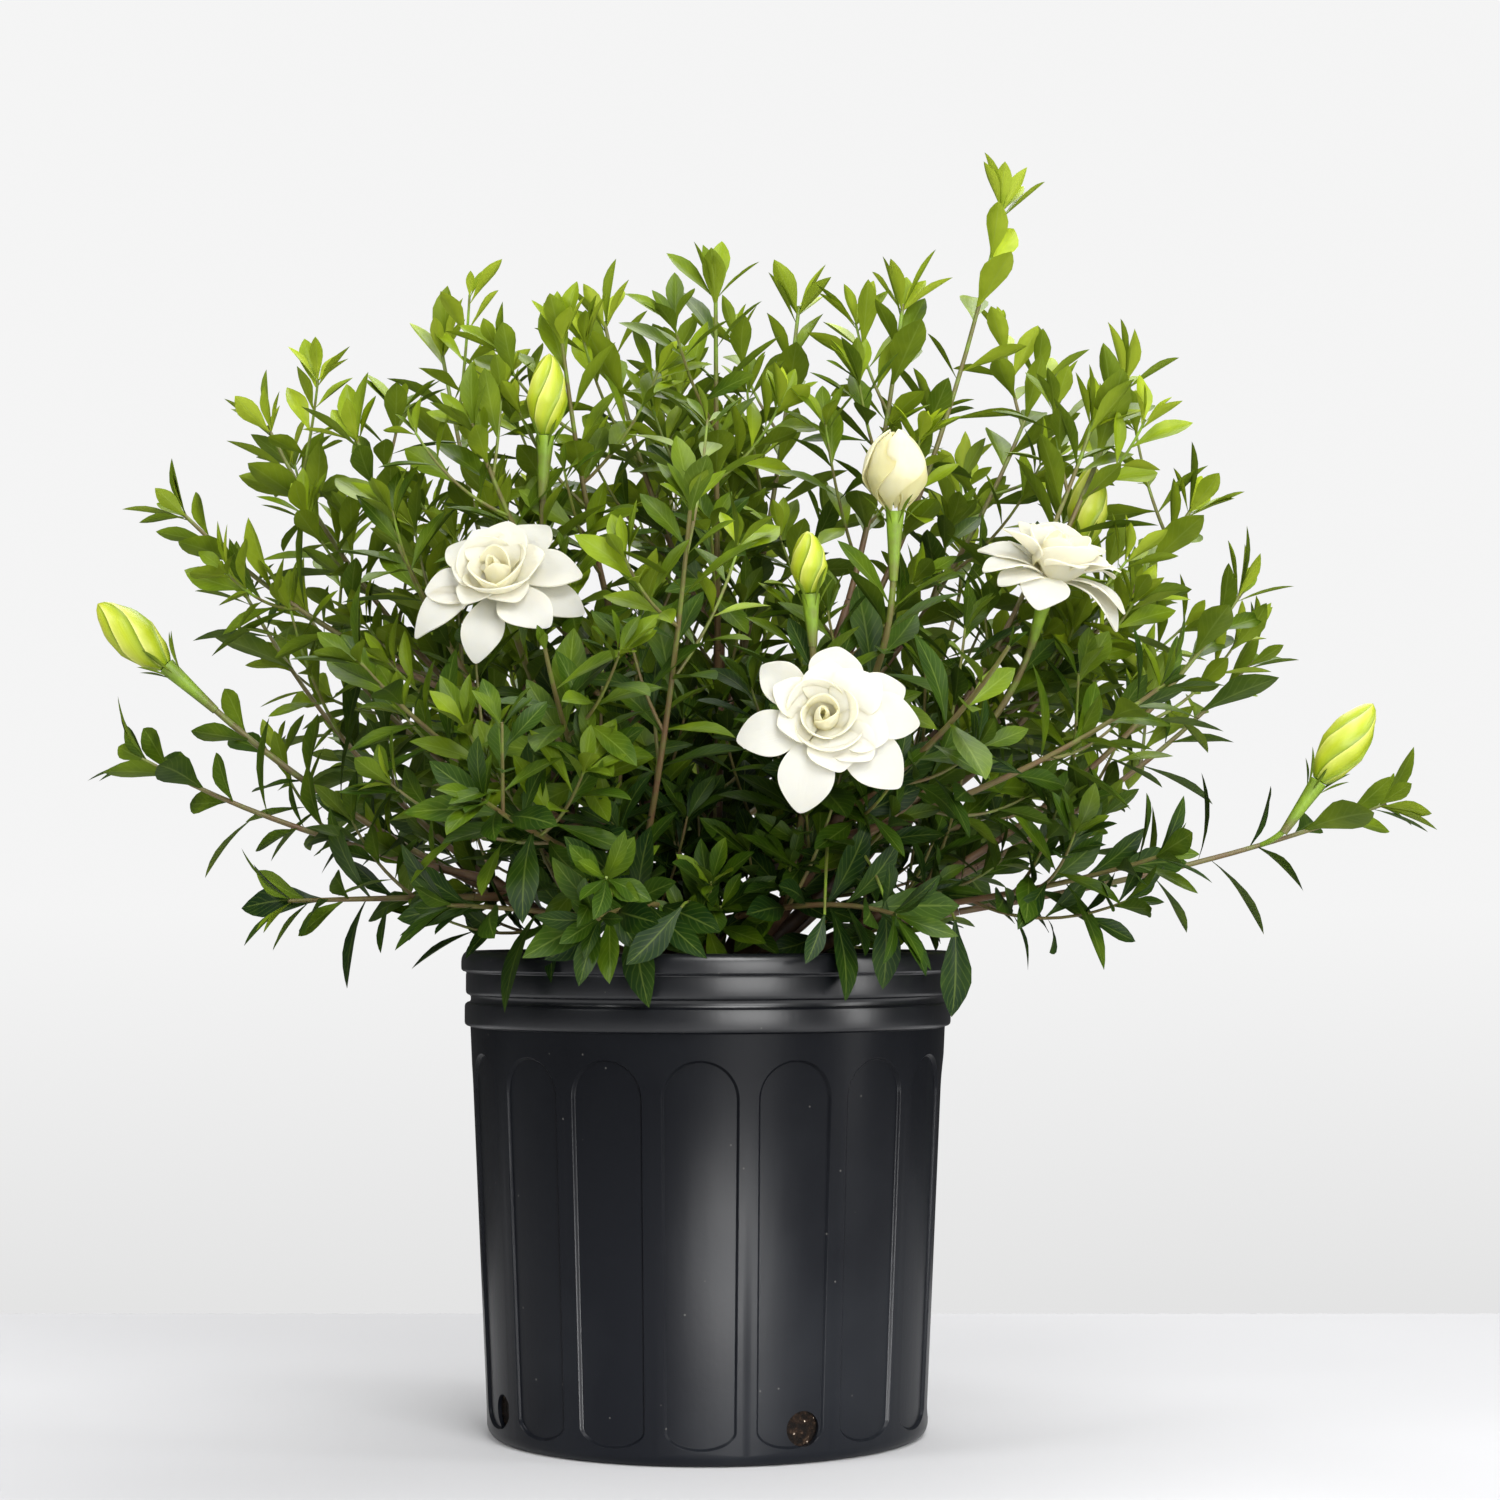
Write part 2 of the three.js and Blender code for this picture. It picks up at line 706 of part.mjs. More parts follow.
// Grows the stem of a shoot: a woody stretch, which joins the limbs, and a green one just beyond
// it. Of the swings, the first that clears all that stands before it is taken.
function growStem(shoot) {
  const base = shoot.flower ? calyx(flowers[shoot.flower]) : null;
  const clasp = base ? base.pieces : [];
  const [x, y, z, raise = 0] = shoot.tip ?? [];
  const isFlower = (body) => body.owner === shoot.flower;
  const isWood = (body) => body.owner === 'wood';
  for (const swing of stemSwings) {
    const stem = base
      ? stalkStem(shoot.start, base.foot, base.facing, swing)
      : risingStem(shoot.start, new THREE.Vector3(x, y, z), raise, swing);
    const from = woodShare + seatGap / stem.slope(woodShare).length();
    const green = rod(stem, [from, 1], greenRadii, stemSides, greenSteps);
    const woody = rod(stem, [0, woodShare], woodRadii, stemSides, 1);
    const greenClear = [green, ...clasp].every((piece) => isClear(piece, stemGap, isFlower));
    if (greenClear && isClear(woody, stemGap, isWood)) {
      Object.assign(shoot, { stem, from });
      shoot.pieces.push(green, ...clasp);
      shoot.pieces.forEach((piece) => keep(piece, shoot.name));
      wood.push(woody);
      keep(woody, 'wood');
      return;
    }
  }
  throw new Error(`no swing clears ${shoot.name}`);
}

[...shoots].sort((a, b) => Boolean(b.flower) - Boolean(a.flower)).forEach(growStem);

function addSideBud({ name, shootTip, place, radii }) {
  const shoot = shoots.find(({ tip }) => tip && tip.join() === shootTip.join());
  const base = calyx(flowers[name]);
  const stalk = stalkStem(shoot.stem.point(place), base.foot, base.facing, 0);
  const pieces = [rod(stalk, [0, 1], radii, limbSides, 2), ...base.pieces];
  pieces.forEach((piece) => keep(piece, shoot.name));
  shoot.pieces.push(...pieces);
}

addSideBud(sideBud);

// Leaves

function formOf(height, pick) {
  const youth = (height - oldHeight) / (youngHeight - oldHeight) + (pick - 0.5) * 0.5;
  if (youth > 0.8) return leafForms.young;
  return youth < 0.15 ? leafForms.old : leafForms.grown;
}

function growLeaf(shoot, pair, side, draws) {
  const { stem, from, name } = shoot;
  const reach = shoot.flower ? stalkLeafReach : 1;
  const turn = pair * 90 + side * 180 + draws.spread(16);
  const lean = (leafAngles[pair] + draws.spread(9)) * degree;
  const length = leafLengths[pair] * (1 + draws.spread(0.1));
  const pick = draws.next();
  const t = THREE.MathUtils.lerp(from, 1, leafPlaces[pair] * reach + side * pairStagger);
  const along = stem.slope(t).normalize();
  const isOwn = (body) => body.owner === name;
  const isJoined = (body) => !isOwn(body) || body.pair === undefined || body.pair === pair;
  for (const extra of leafTurns) {
    const out = stem.across(t, (turn + extra) * degree);
    const way = along.clone().multiplyScalar(Math.cos(lean)).addScaledVector(out, Math.sin(lean));
    const face = along.clone().multiplyScalar(Math.sin(lean)).addScaledVector(out, -Math.cos(lean));
    face.addScaledVector(zAxis, leafLight);
    face.addScaledVector(way, -face.dot(way)).normalize();
    const root = stem.rodPoint(t, from, greenSteps).addScaledVector(out, leafFoot);
    const form = formOf(root.z, pick);
    const points = bladePoints(root, way, face, length, leafThickness, form, along);
    if (points.some(beforeBloom)) continue;
    const leaf = blade(points);
    if (isClear(leaf, leafGap, isOwn) && isClear(leaf, ownLeafGap, isJoined)) {
      keep(leaf, name, pair);
      shoot.pieces.push(leaf);
      return;
    }
    leaf.delete();
  }
}

for (const shoot of shoots) {
  const draws = new Draws(shoot.number * 7919 + 17);
  const pairs = shoot.flower ? leafPairs - 1 : leafPairs;
  for (let pair = 0; pair < pairs; pair++) {
    growLeaf(shoot, pair, 0, draws);
    growLeaf(shoot, pair, 1, draws);
  }
}

// Everything in its place

addMesh('pot', pot, finishes.pot);
addMesh('soil', soil, finishes.soil);
addMesh('woody_stems', wasm.Manifold.union(wood), finishes.wood);
for (const [name, { kind, solid, fused }] of Object.entries(flowers)) {
  if (!fused) addMesh(name, solid, kind === 'bud' ? finishes.bud : finishes.petal);
}
for (const shoot of shoots) {
  const height = shoot.stem.end.z;
  const lowFinish = height < oldHeight ? finishes.oldLeaf : finishes.leaf;
  const finish = height > youngHeight ? finishes.youngLeaf : lowFinish;
  addMesh(shoot.name, wasm.Manifold.union(shoot.pieces), finish);
}

export default group;
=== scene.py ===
"""A gardenia bush in a black nursery pot: three open blooms, one opening bud and five green buds.

Metres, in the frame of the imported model, with the middle of the pot's base at the origin.
"""

import math
import random

import bpy
import numpy as np
from mathutils import Matrix, Vector, kdtree


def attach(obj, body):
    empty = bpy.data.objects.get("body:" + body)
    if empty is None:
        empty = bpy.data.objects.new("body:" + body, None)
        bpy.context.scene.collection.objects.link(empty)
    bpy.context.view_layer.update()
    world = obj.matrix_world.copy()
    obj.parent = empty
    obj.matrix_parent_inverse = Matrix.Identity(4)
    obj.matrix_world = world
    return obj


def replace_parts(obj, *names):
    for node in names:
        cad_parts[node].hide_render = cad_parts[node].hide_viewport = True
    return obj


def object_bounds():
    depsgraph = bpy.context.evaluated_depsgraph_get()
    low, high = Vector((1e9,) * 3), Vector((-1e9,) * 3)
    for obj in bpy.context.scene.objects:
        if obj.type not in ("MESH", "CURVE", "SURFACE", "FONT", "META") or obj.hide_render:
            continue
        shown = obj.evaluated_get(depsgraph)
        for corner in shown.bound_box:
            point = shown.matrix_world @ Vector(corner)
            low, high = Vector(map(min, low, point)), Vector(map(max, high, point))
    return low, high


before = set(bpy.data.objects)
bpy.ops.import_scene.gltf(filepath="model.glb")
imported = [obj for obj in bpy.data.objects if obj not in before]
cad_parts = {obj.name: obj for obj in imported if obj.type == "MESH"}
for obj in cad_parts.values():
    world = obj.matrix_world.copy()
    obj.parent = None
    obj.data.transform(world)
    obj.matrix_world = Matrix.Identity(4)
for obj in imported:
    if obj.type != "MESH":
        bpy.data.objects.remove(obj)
cad_low, cad_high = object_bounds()

# Camera, floor and light
# The bush stands on a plain pale floor in a bright white studio. Broad soft lights stand in front,
# both high up and at the plant's height, at the left and behind. A strip at the right gives the pot
# its edge, a small low light reaches its foot, and the white room fills the shade.
camera_place = Vector((0.0197, -1.527, 0.241))
camera_pitch = math.radians(2.85)
focal_share = 3257 / 1500
floor_size = (2.9, 1.95)
floor_back = 0.445
floor_grey = (0.50, 0.50, 0.51)
soft_lights = {
    "high_front": {"place": (0.45, -1.5, 1.8), "size": (0.9, 0.9), "power": 33},
    "front_strip": {"place": (0.60, -1.70, 0.50), "size": (0.9, 1.0), "power": 19.5},
    "left_side": {"place": (-1.5, -0.9, 1.5), "size": (0.7, 0.7), "power": 19},
    "right_strip": {"place": (1.6, -0.5, 0.7), "size": (0.35, 1.5), "power": 12},
    "back": {"place": (0.25, 0.8, 1.9), "size": (1.6, 1.2), "power": 36},
    "low_front": {"place": (0.10, -0.45, 0.03), "size": (0.44, 0.06), "power": 0.45},
}
light_aim = Vector((0, 0, 0.25))
low_aim = Vector((0, 0, 0.02))
low_spread = math.radians(50)
room_seen = (0.76, 0.91)
room_rises = (-0.13, 0.0)
room_light = 0.46
room_mirrored = 0.07

scene = bpy.context.scene
lens = bpy.data.cameras.new("camera")
lens.sensor_width = 36
lens.lens = lens.sensor_width * focal_share
lens.clip_start = 0.01
camera = bpy.data.objects.new("camera", lens)
camera.location = camera_place
camera.rotation_euler = (math.pi / 2 + camera_pitch, 0, 0)
scene.collection.objects.link(camera)
scene.camera = camera
scene.view_settings.view_transform = "Standard"

for light_name, soft in soft_lights.items():
    lamp = bpy.data.lights.new(light_name, "AREA")
    lamp.shape = "RECTANGLE"
    lamp.size, lamp.size_y = soft["size"]
    lamp.energy = soft["power"]
    lamp_object = bpy.data.objects.new(light_name, lamp)
    lamp_object.location = soft["place"]
    aim = light_aim
    if light_name == "low_front":
        aim = low_aim
        lamp.spread = low_spread
    lamp_object.rotation_euler = (aim - lamp_object.location).to_track_quat("-Z", "Y").to_euler()
    lamp_object.visible_camera = False
    scene.collection.objects.link(lamp_object)


def feed(node, inputs):
    """Gives a node's inputs their values, or links them to the outputs that feed them."""
    for socket, source in inputs.items():
        if isinstance(source, bpy.types.NodeSocket):
            node.id_data.links.new(source, node.inputs[socket])
        else:
            node.inputs[socket].default_value = source


def add_node(tree, kind, inputs=None, **settings):
    """A shader node of that kind with its properties set and its inputs fed."""
    node = tree.nodes.new("ShaderNode" + kind)
    for name, value in settings.items():
        setattr(node, name, value)
    feed(node, inputs or {})
    return node


def remap(tree, value, span, result):
    """Maps a value's span onto the span of the result."""
    inputs = {"Value": value, "From Min": span[0], "From Max": span[1]}
    inputs.update({"To Min": result[0], "To Max": result[1]})
    return add_node(tree, "MapRange", inputs).outputs["Result"]


room = bpy.data.worlds.new("white_room")
room.use_nodes = True
tree = room.node_tree
ray = add_node(tree, "LightPath").outputs
way_seen = add_node(tree, "TexCoord").outputs["Generated"]
rise = add_node(tree, "SeparateXYZ", {"Vector": way_seen}).outputs["Z"]
unseen = remap(tree, ray["Is Glossy Ray"], (0, 1), (room_light, room_mirrored))
seen = remap(tree, rise, room_rises, room_seen)
strength = remap(tree, ray["Is Camera Ray"], (0, 1), (unseen, seen))
feed(tree.nodes["Background"], {"Color": (1, 1, 1, 1), "Strength": strength})
scene.world = room


def plain_material(name, colour, roughness):
    """A new material, its node tree and its Principled node, for more nodes to be added to."""
    material = bpy.data.materials.new(name)
    material.use_nodes = True
    shader = material.node_tree.nodes["Principled BSDF"]
    feed(shader, {"Base Color": (*colour, 1), "Roughness": roughness})
    return material, material.node_tree, shader


def deselect_all():
    bpy.ops.object.select_all(action="DESELECT")


def pick(*pieces):
    """Selects only these objects, the first one active."""
    deselect_all()
    for piece in pieces:
        piece.select_set(True)
    bpy.context.view_layer.objects.active = pieces[0]


def new_mesh(add, **settings):
    """The object that one of Blender's operators for new meshes makes."""
    deselect_all()
    add(**settings)
    return bpy.context.object


def fix_place(piece):
    """Moves an object's place into its mesh."""
    pick(piece)
    bpy.ops.object.transform_apply(location=True, rotation=True, scale=True)


floor_middle = (0, floor_back - floor_size[1] / 2, 0)
floor = new_mesh(bpy.ops.mesh.primitive_plane_add, size=1, location=floor_middle)
floor.name = "floor"
floor.scale = (*floor_size, 1)
fix_place(floor)
floor.data.materials.append(plain_material("pale_floor", floor_grey, 0.8)[0])

# Pot
# A blow-moulded black plastic nursery container. Its wall tapers down and has sixteen long arched
# panels pressed into it. A bead, a groove, a collar and a lip run round its top, with more shine
# than the wall. Four drain holes are punched through the wall low down.
wall_bottom_radius = 0.1021
wall_top_radius = 0.1106
wall_bottom = 0.005
wall_top = 0.188
panel_count = 16
panel_turn = math.radians(-1)
panel_top = 0.177
panel_bottom = 0.007
panel_bend = 0.009
panel_top_half = 0.0176
panel_bottom_half = 0.0163
panel_corners = 48
panel_columns = 18
press_steps = [(0.0003, 0.0), (0.0004, -0.0003), (0.0003, -0.0008), (0.0004, -0.0003)]
pot_rise = [
    (0.1108, 0.1882), (0.1124, 0.1887), (0.1131, 0.1894), (0.1133, 0.1903),
    (0.1133, 0.1975), (0.1130, 0.1986), (0.1121, 0.1993), (0.1109, 0.1997), (0.1105, 0.2004),
    (0.1105, 0.2018), (0.1109, 0.2026), (0.1119, 0.2030), (0.1126, 0.2037), (0.1128, 0.2047),
    (0.1128, 0.2122), (0.1126, 0.2129), (0.1128, 0.2134), (0.1142, 0.2138), (0.1149, 0.2146),
    (0.1150, 0.2160), (0.1150, 0.2182), (0.1148, 0.2198), (0.1143, 0.2211), (0.1136, 0.2221),
    (0.1127, 0.2228), (0.1119, 0.2230), (0.1111, 0.2227), (0.1107, 0.2218), (0.1085, 0.2150),
    (0.1075, 0.2100), (0.0990, 0.0060), (0.0975, 0.0034), (0.0940, 0.0030),
]
inside_radius = 0.1
pot_fall = [(0.1016, 0.0031), (0.1005, 0.0015), (0.0989, 0.0004), (0.0971, 0.0)]
drain_count = 4
drain_turn = math.radians(25)
drain_corners = 40
drain_radius = 0.0077
drain_height = 0.0157
punch_depth = 0.03
rim_foot = 0.1885
wall_shine = 0.11
rim_shine = 0.52
black_plastic = (0.004, 0.0045, 0.006)
dust_colour = (0.35, 0.34, 0.31, 1)
hair = 1e-5


def edit_all(piece):
    """Goes into edit mode with the whole mesh selected."""
    pick(piece)
    bpy.ops.object.mode_set(mode="EDIT")
    bpy.ops.mesh.select_all(action="SELECT")


def select_points(piece, test):
    """In edit mode, selects the vertices whose place passes the test, and no others."""
    bpy.ops.object.mode_set(mode="OBJECT")
    mesh = piece.data
    mesh.polygons.foreach_set("select", [False] * len(mesh.polygons))
    mesh.edges.foreach_set("select", [False] * len(mesh.edges))
    mesh.vertices.foreach_set("select", [bool(test(v.co)) for v in mesh.vertices])
    bpy.ops.object.mode_set(mode="EDIT")
    bpy.ops.mesh.select_mode(type="VERT")


def wall_scale(height):
    share = (height - wall_bottom) / (wall_top - wall_bottom)
    return 1 + share * (wall_top_radius / wall_bottom_radius - 1)


def press_panel():
    """One flat sector of the wall, with its arch pressed in, facing -Y."""
    arch_height = panel_top - panel_top_half
    foot_height = panel_bottom + panel_bend
    top_half = panel_top_half / wall_scale(arch_height)
    bottom_half = panel_bottom_half / wall_scale(foot_height)
    sector_half = math.pi * wall_bottom_radius / panel_count
    plate = new_mesh(
        bpy.ops.mesh.primitive_circle_add, vertices=panel_corners, radius=panel_top_half,
        location=(0, 0, arch_height), rotation=(math.pi / 2, 0, 0),
    )
    fix_place(plate)
    select_points(plate, lambda co: co.z < arch_height - hair)
    bpy.ops.transform.resize(
        value=(1, 1, panel_bend / panel_top_half), center_override=(0, 0, arch_height),
    )
    bpy.ops.transform.resize(value=(bottom_half / top_half, 1, 1), center_override=(0, 0, 0))
    bpy.ops.transform.translate(value=(0, 0, foot_height - arch_height))
    select_points(plate, lambda co: True)
    bpy.ops.transform.resize(value=(top_half / panel_top_half, 1, 1), center_override=(0, 0, 0))
    bpy.ops.mesh.select_all(action="DESELECT")
    middle = (wall_top + wall_bottom) / 2
    bpy.ops.mesh.primitive_plane_add(size=1, location=(0, 0, middle), rotation=(math.pi / 2, 0, 0))
    bpy.ops.transform.resize(
        value=(2 * sector_half, 1, wall_top - wall_bottom), center_override=(0, 0, middle),
    )
    bpy.ops.mesh.delete(type="ONLY_FACE")
    bpy.ops.mesh.select_all(action="SELECT")
    bpy.ops.mesh.fill(use_beauty=True)
    select_points(plate, lambda co: abs(co.x) < sector_half - hair)
    bpy.ops.mesh.edge_face_add()
    bpy.ops.mesh.select_all(action="SELECT")
    bpy.ops.mesh.normals_make_consistent(inside=False)
    bpy.ops.object.mode_set(mode="OBJECT")
    faces_back = plate.data.polygons[0].normal.y > 0
    select_points(plate, lambda co: True)
    if faces_back:
        bpy.ops.mesh.flip_normals()
    select_points(plate, lambda co: abs(co.x) < sector_half - hair)
    bpy.ops.mesh.select_mode(type="FACE")
    for inward, depth in press_steps:
        bpy.ops.mesh.inset(thickness=inward, depth=depth)
    for column in range(1, panel_columns):
        across = sector_half * (2 * column / panel_columns - 1)
        bpy.ops.mesh.select_all(action="SELECT")
        bpy.ops.mesh.bisect(plane_co=(across, 0, 0), plane_no=(1, 0, 0))
    bpy.ops.object.mode_set(mode="OBJECT")
    return plate


def add_modifier(piece, kind, **settings):
    """Adds a modifier and applies it."""
    pick(piece)
    modifier = piece.modifiers.new(kind.lower(), kind)
    for name, value in settings.items():
        setattr(modifier, name, value)
    bpy.ops.object.modifier_apply(modifier=modifier.name)


def move_points(piece, places):
    """Puts a mesh's vertices at these places, an array of rows."""
    piece.data.vertices.foreach_set("co", np.asarray(places, np.float32).ravel())
    piece.data.update()


def points_of(piece):
    places = np.empty(len(piece.data.vertices) * 3, np.float32)
    piece.data.vertices.foreach_get("co", places)
    return places.reshape(-1, 3).astype(float)


def lead_edge(rings):
    """Extrudes the selected ring of edges through these (radius, height) pairs, from where it is."""
    radius, height = rings[0]
    for next_radius, next_height in rings[1:]:
        bpy.ops.mesh.extrude_region_move(
            TRANSFORM_OT_translate={"value": (0, 0, next_height - height)},
        )
        bpy.ops.transform.resize(
            value=(next_radius / radius, next_radius / radius, 1), center_override=(0, 0, 0),
        )
        radius, height = next_radius, next_height
    bpy.ops.mesh.edge_face_add()


pot = press_panel()
pot.name = "nursery_pot"
add_modifier(pot, "ARRAY", count=panel_count, use_merge_vertices=True, merge_threshold=hair)
flat = points_of(pot)
turns = flat[:, 0] / wall_bottom_radius + panel_turn
out = (wall_bottom_radius - flat[:, 1]) * wall_scale(flat[:, 2])
move_points(pot, np.stack([out * np.sin(turns), -out * np.cos(turns), flat[:, 2]], 1))
edit_all(pot)
bpy.ops.mesh.remove_doubles(threshold=hair)
select_points(pot, lambda co: co.z > wall_top - hair)
lead_edge([(wall_top_radius, wall_top)] + pot_rise)
select_points(pot, lambda co: co.z < wall_bottom + hair and math.hypot(co.x, co.y) > inside_radius)
lead_edge([(wall_bottom_radius, wall_bottom)] + pot_fall)
bpy.ops.object.mode_set(mode="OBJECT")
for number in range(drain_count):
    turn = drain_turn + number * 2 * math.pi / drain_count
    across, ahead = wall_bottom_radius * math.sin(turn), -wall_bottom_radius * math.cos(turn)
    punch = new_mesh(
        bpy.ops.mesh.primitive_cylinder_add, vertices=drain_corners, radius=drain_radius,
        depth=punch_depth, rotation=(math.pi / 2, 0, turn), location=(across, ahead, drain_height),
    )
    fix_place(punch)
    add_modifier(pot, "BOOLEAN", object=punch, operation="DIFFERENCE", solver="EXACT")
    bpy.data.objects.remove(punch)
pick(pot)
bpy.ops.object.shade_smooth_by_angle(angle=math.radians(36))


def noise(tree, place, scale, detail):
    inputs = {"Vector": place, "Scale": scale, "Detail": detail}
    return add_node(tree, "TexNoise", inputs).outputs["Fac"]


def ramp(tree, value, *stops):
    """The colour that a value stands for, between these (place, colour) stops."""
    node = add_node(tree, "ValToRGB", {"Fac": value})
    elements = node.color_ramp.elements
    while len(elements) < len(stops):
        elements.new(0.5)
    for element, (place, colour) in zip(elements, stops):
        element.position = place
        element.color = (*colour, 1)
    return node.outputs["Color"]


def bump(tree, height, strength, distance, **below):
    inputs = {"Height": height, "Strength": strength, "Distance": distance, **below}
    return add_node(tree, "Bump", inputs).outputs["Normal"]


def pot_material(name, shine):
    """Matt black plastic with faint clouding, a fine grain, drawn scuffs and specks of dust."""
    material, tree, shader = plain_material(name, black_plastic, 0.33)
    place = add_node(tree, "TexCoord").outputs["Object"]
    clouds = noise(tree, place, 9.0, 5.0)
    clouding = ramp(tree, clouds, (0.45, (0.0035, 0.004, 0.0055)), (0.75, (0.008, 0.009, 0.011)))
    specks = add_node(tree, "TexVoronoi", {"Vector": place, "Scale": 75.0}).outputs["Distance"]
    speck_share = remap(tree, specks, (0.02, 0.045), (0.16, 0.0))
    speckled = {"Fac": speck_share, "Color1": clouding, "Color2": dust_colour}
    drawn = add_node(tree, "Mapping", {"Vector": place, "Scale": (1.0, 1.0, 0.12)}).outputs["Vector"]
    grain = bump(tree, noise(tree, place, 500.0, 2.0), 0.06, 0.0004)
    feed(shader, {
        "Specular IOR Level": shine,
        "Base Color": add_node(tree, "MixRGB", speckled).outputs["Color"],
        "Roughness": remap(tree, clouds, (0.3, 0.7), (0.27, 0.37)),
        "Normal": bump(tree, noise(tree, drawn, 160.0, 6.0), 0.10, 0.0006, Normal=grain),
    })
    return material


pot.data.materials.clear()
pot.data.materials.append(pot_material("black_pot_plastic", wall_shine))
pot.data.materials.append(pot_material("polished_rim_plastic", rim_shine))
for polygon in pot.data.polygons:
    polygon.material_index = 1 if polygon.center.z > rim_foot else 0
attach(pot, "root")
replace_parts(pot, "pot")

# Soil
# Potting mix fills the pot to just under its collar, and it shows in the drain holes. Bark chips
# and white perlite grains lie on its rough crust.
crust_radius = 0.1055
crust_height = 0.2042
crust_corners = 72
crust_rings = 14
crust_noise = 0.011
crust_relief = 0.006
crust_thickness = 0.004
chip_count = 230
chip_sizes = (0.006, 0.017)
chip_shape = (1, 0.55, 0.22)
grain_count = 70
grain_sizes = (0.0015, 0.0034)
strewn_share = 0.95
strewn_rise = 0.0015
strewn_tilt = 0.5
strewn_seed = 41
soil_stops = [
    (0.42, (0.003, 0.002, 0.0015)), (0.58, (0.009, 0.005, 0.003)), (0.66, (0.030, 0.018, 0.011)),
    (0.72, (0.50, 0.43, 0.35)),
]
bark_stops = [(0.35, (0.035, 0.018, 0.010)), (0.55, (0.12, 0.065, 0.035)), (0.75, (0.24, 0.16, 0.10))]

soil_mix, tree, shader = plain_material("potting_mix", soil_stops[0][1], 0.95)
crumbs = noise(tree, add_node(tree, "TexCoord").outputs["Object"], 400.0, 8.0)
feed(shader, {
    "Specular IOR Level": 0.12,
    "Base Color": ramp(tree, crumbs, *soil_stops),
    "Normal": bump(tree, crumbs, 0.9, 0.003),
})
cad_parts["soil"].data.materials.clear()
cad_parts["soil"].data.materials.append(soil_mix)

crust = new_mesh(
    bpy.ops.mesh.primitive_circle_add, vertices=crust_corners, radius=crust_radius,
    fill_type="NGON", location=(0, 0, crust_height),
)
crust.name = "soil_crust"
fix_place(crust)
edit_all(crust)
for _ in range(crust_rings):
    bpy.ops.mesh.inset(thickness=crust_radius / (crust_rings + 1))
bpy.ops.object.mode_set(mode="OBJECT")
lumpy = bpy.data.textures.new("lumpy_ground", "CLOUDS")
lumpy.noise_scale = crust_noise
add_modifier(crust, "DISPLACE", texture=lumpy, strength=crust_relief, texture_coords="LOCAL")
add_modifier(crust, "SOLIDIFY", thickness=crust_thickness, offset=-1)
pick(crust)
bpy.ops.object.shade_smooth()
crust.data.materials.append(soil_mix)
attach(crust, "root")


def copy_of(master):
    """A copy of a master piece, with a mesh of its own."""
    copy = master.copy()
    copy.data = master.data.copy()
    scene.collection.objects.link(copy)
    return copy


def join_pieces(pieces, name):
    pick(*pieces)
    bpy.ops.object.join()
    pieces[0].name = name
    pieces[0].data.name = name
    return pieces[0]


chip_master = new_mesh(bpy.ops.mesh.primitive_cube_add, size=1)
edit_all(chip_master)
bpy.ops.mesh.subdivide(number_cuts=1, smoothness=0.6)
bpy.ops.transform.vertex_random(offset=0.16, seed=5)
bpy.ops.transform.resize(value=chip_shape)
bpy.ops.object.mode_set(mode="OBJECT")
grain_master = new_mesh(bpy.ops.mesh.primitive_ico_sphere_add, subdivisions=1, radius=0.5)

scatter = random.Random(strewn_seed)
bark_brown, tree, shader = plain_material("bark_chips", (0.09, 0.05, 0.03), 0.8)
fibres = noise(tree, add_node(tree, "TexCoord").outputs["Object"], 90.0, 6.0)
feed(shader, {"Base Color": ramp(tree, fibres, *bark_stops)})
perlite_white = plain_material("perlite", (0.75, 0.73, 0.68), 0.9)[0]


def scattered(master, count, sizes, material, name):
    """Copies of a master strewn over the soil's crust, joined as one piece."""
    pieces = []
    for _ in range(count):
        reach = crust_radius * strewn_share * math.sqrt(scatter.random())
        turn = scatter.uniform(0, 2 * math.pi)
        size = scatter.uniform(*sizes)
        copy = copy_of(master)
        copy.data.transform(
            Matrix.Translation(
                (reach * math.cos(turn), reach * math.sin(turn), crust_height + strewn_rise)
            )
            @ Matrix.Rotation(scatter.uniform(0, 6.3), 4, "Z")
            @ Matrix.Rotation(scatter.uniform(-strewn_tilt, strewn_tilt), 4, "X")
            @ Matrix.Scale(size, 4)
        )
        pieces.append(copy)
    bpy.data.objects.remove(master)
    joined = join_pieces(pieces, name)
    joined.data.materials.clear()
    joined.data.materials.append(material)
    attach(joined, "root")
    return joined


scattered(chip_master, chip_count, chip_sizes, bark_brown, "bark_chips")
scattered(grain_master, grain_count, grain_sizes, perlite_white, "perlite_grains")

# Woody stems
# The trunk stands in the soil and parts into thirteen limbs just above it. Each limb's shoots set
# out near its head, brown and woody at first. The bark is thin, matt and lightly cracked.
trunk_radii = (0.009, 0.008)
trunk_bottom = 0.172
trunk_top = 0.216
limb_start_height = 0.209
limb_start_share = 0.05
limb_radii = (0.0044, 0.0027)
wood_radii = (0.0024, 0.0017)
green_radii = (0.0016, 0.0009)
stalk_radii = (0.0016, 0.0015)
green_corner = 0.0016
wood_share = 0.16
start_step = 0.13
outward_share = 0.6
upward_share = 0.35
stalk_share = 0.45
seat_gap = 0.0003
stem_swings = [0, 0.014, -0.014, 0.028, -0.028, 0.042, -0.042]
stem_stops = [
    (0.0, (0.055, 0.030, 0.016)), (0.3, (0.14, 0.075, 0.035)), (0.55, (0.13, 0.12, 0.03)),
    (0.75, (0.16, 0.26, 0.015)), (1.0, (0.28, 0.44, 0.02)),
]
trunk_tones = (0, 0.1)
limb_tones = (0, 0.25)
wood_tones = (0.15, 0.32)
match_gap = 0.0001
rod_sides = 8
rod_steps = 10
up = Vector((0, 0, 1))

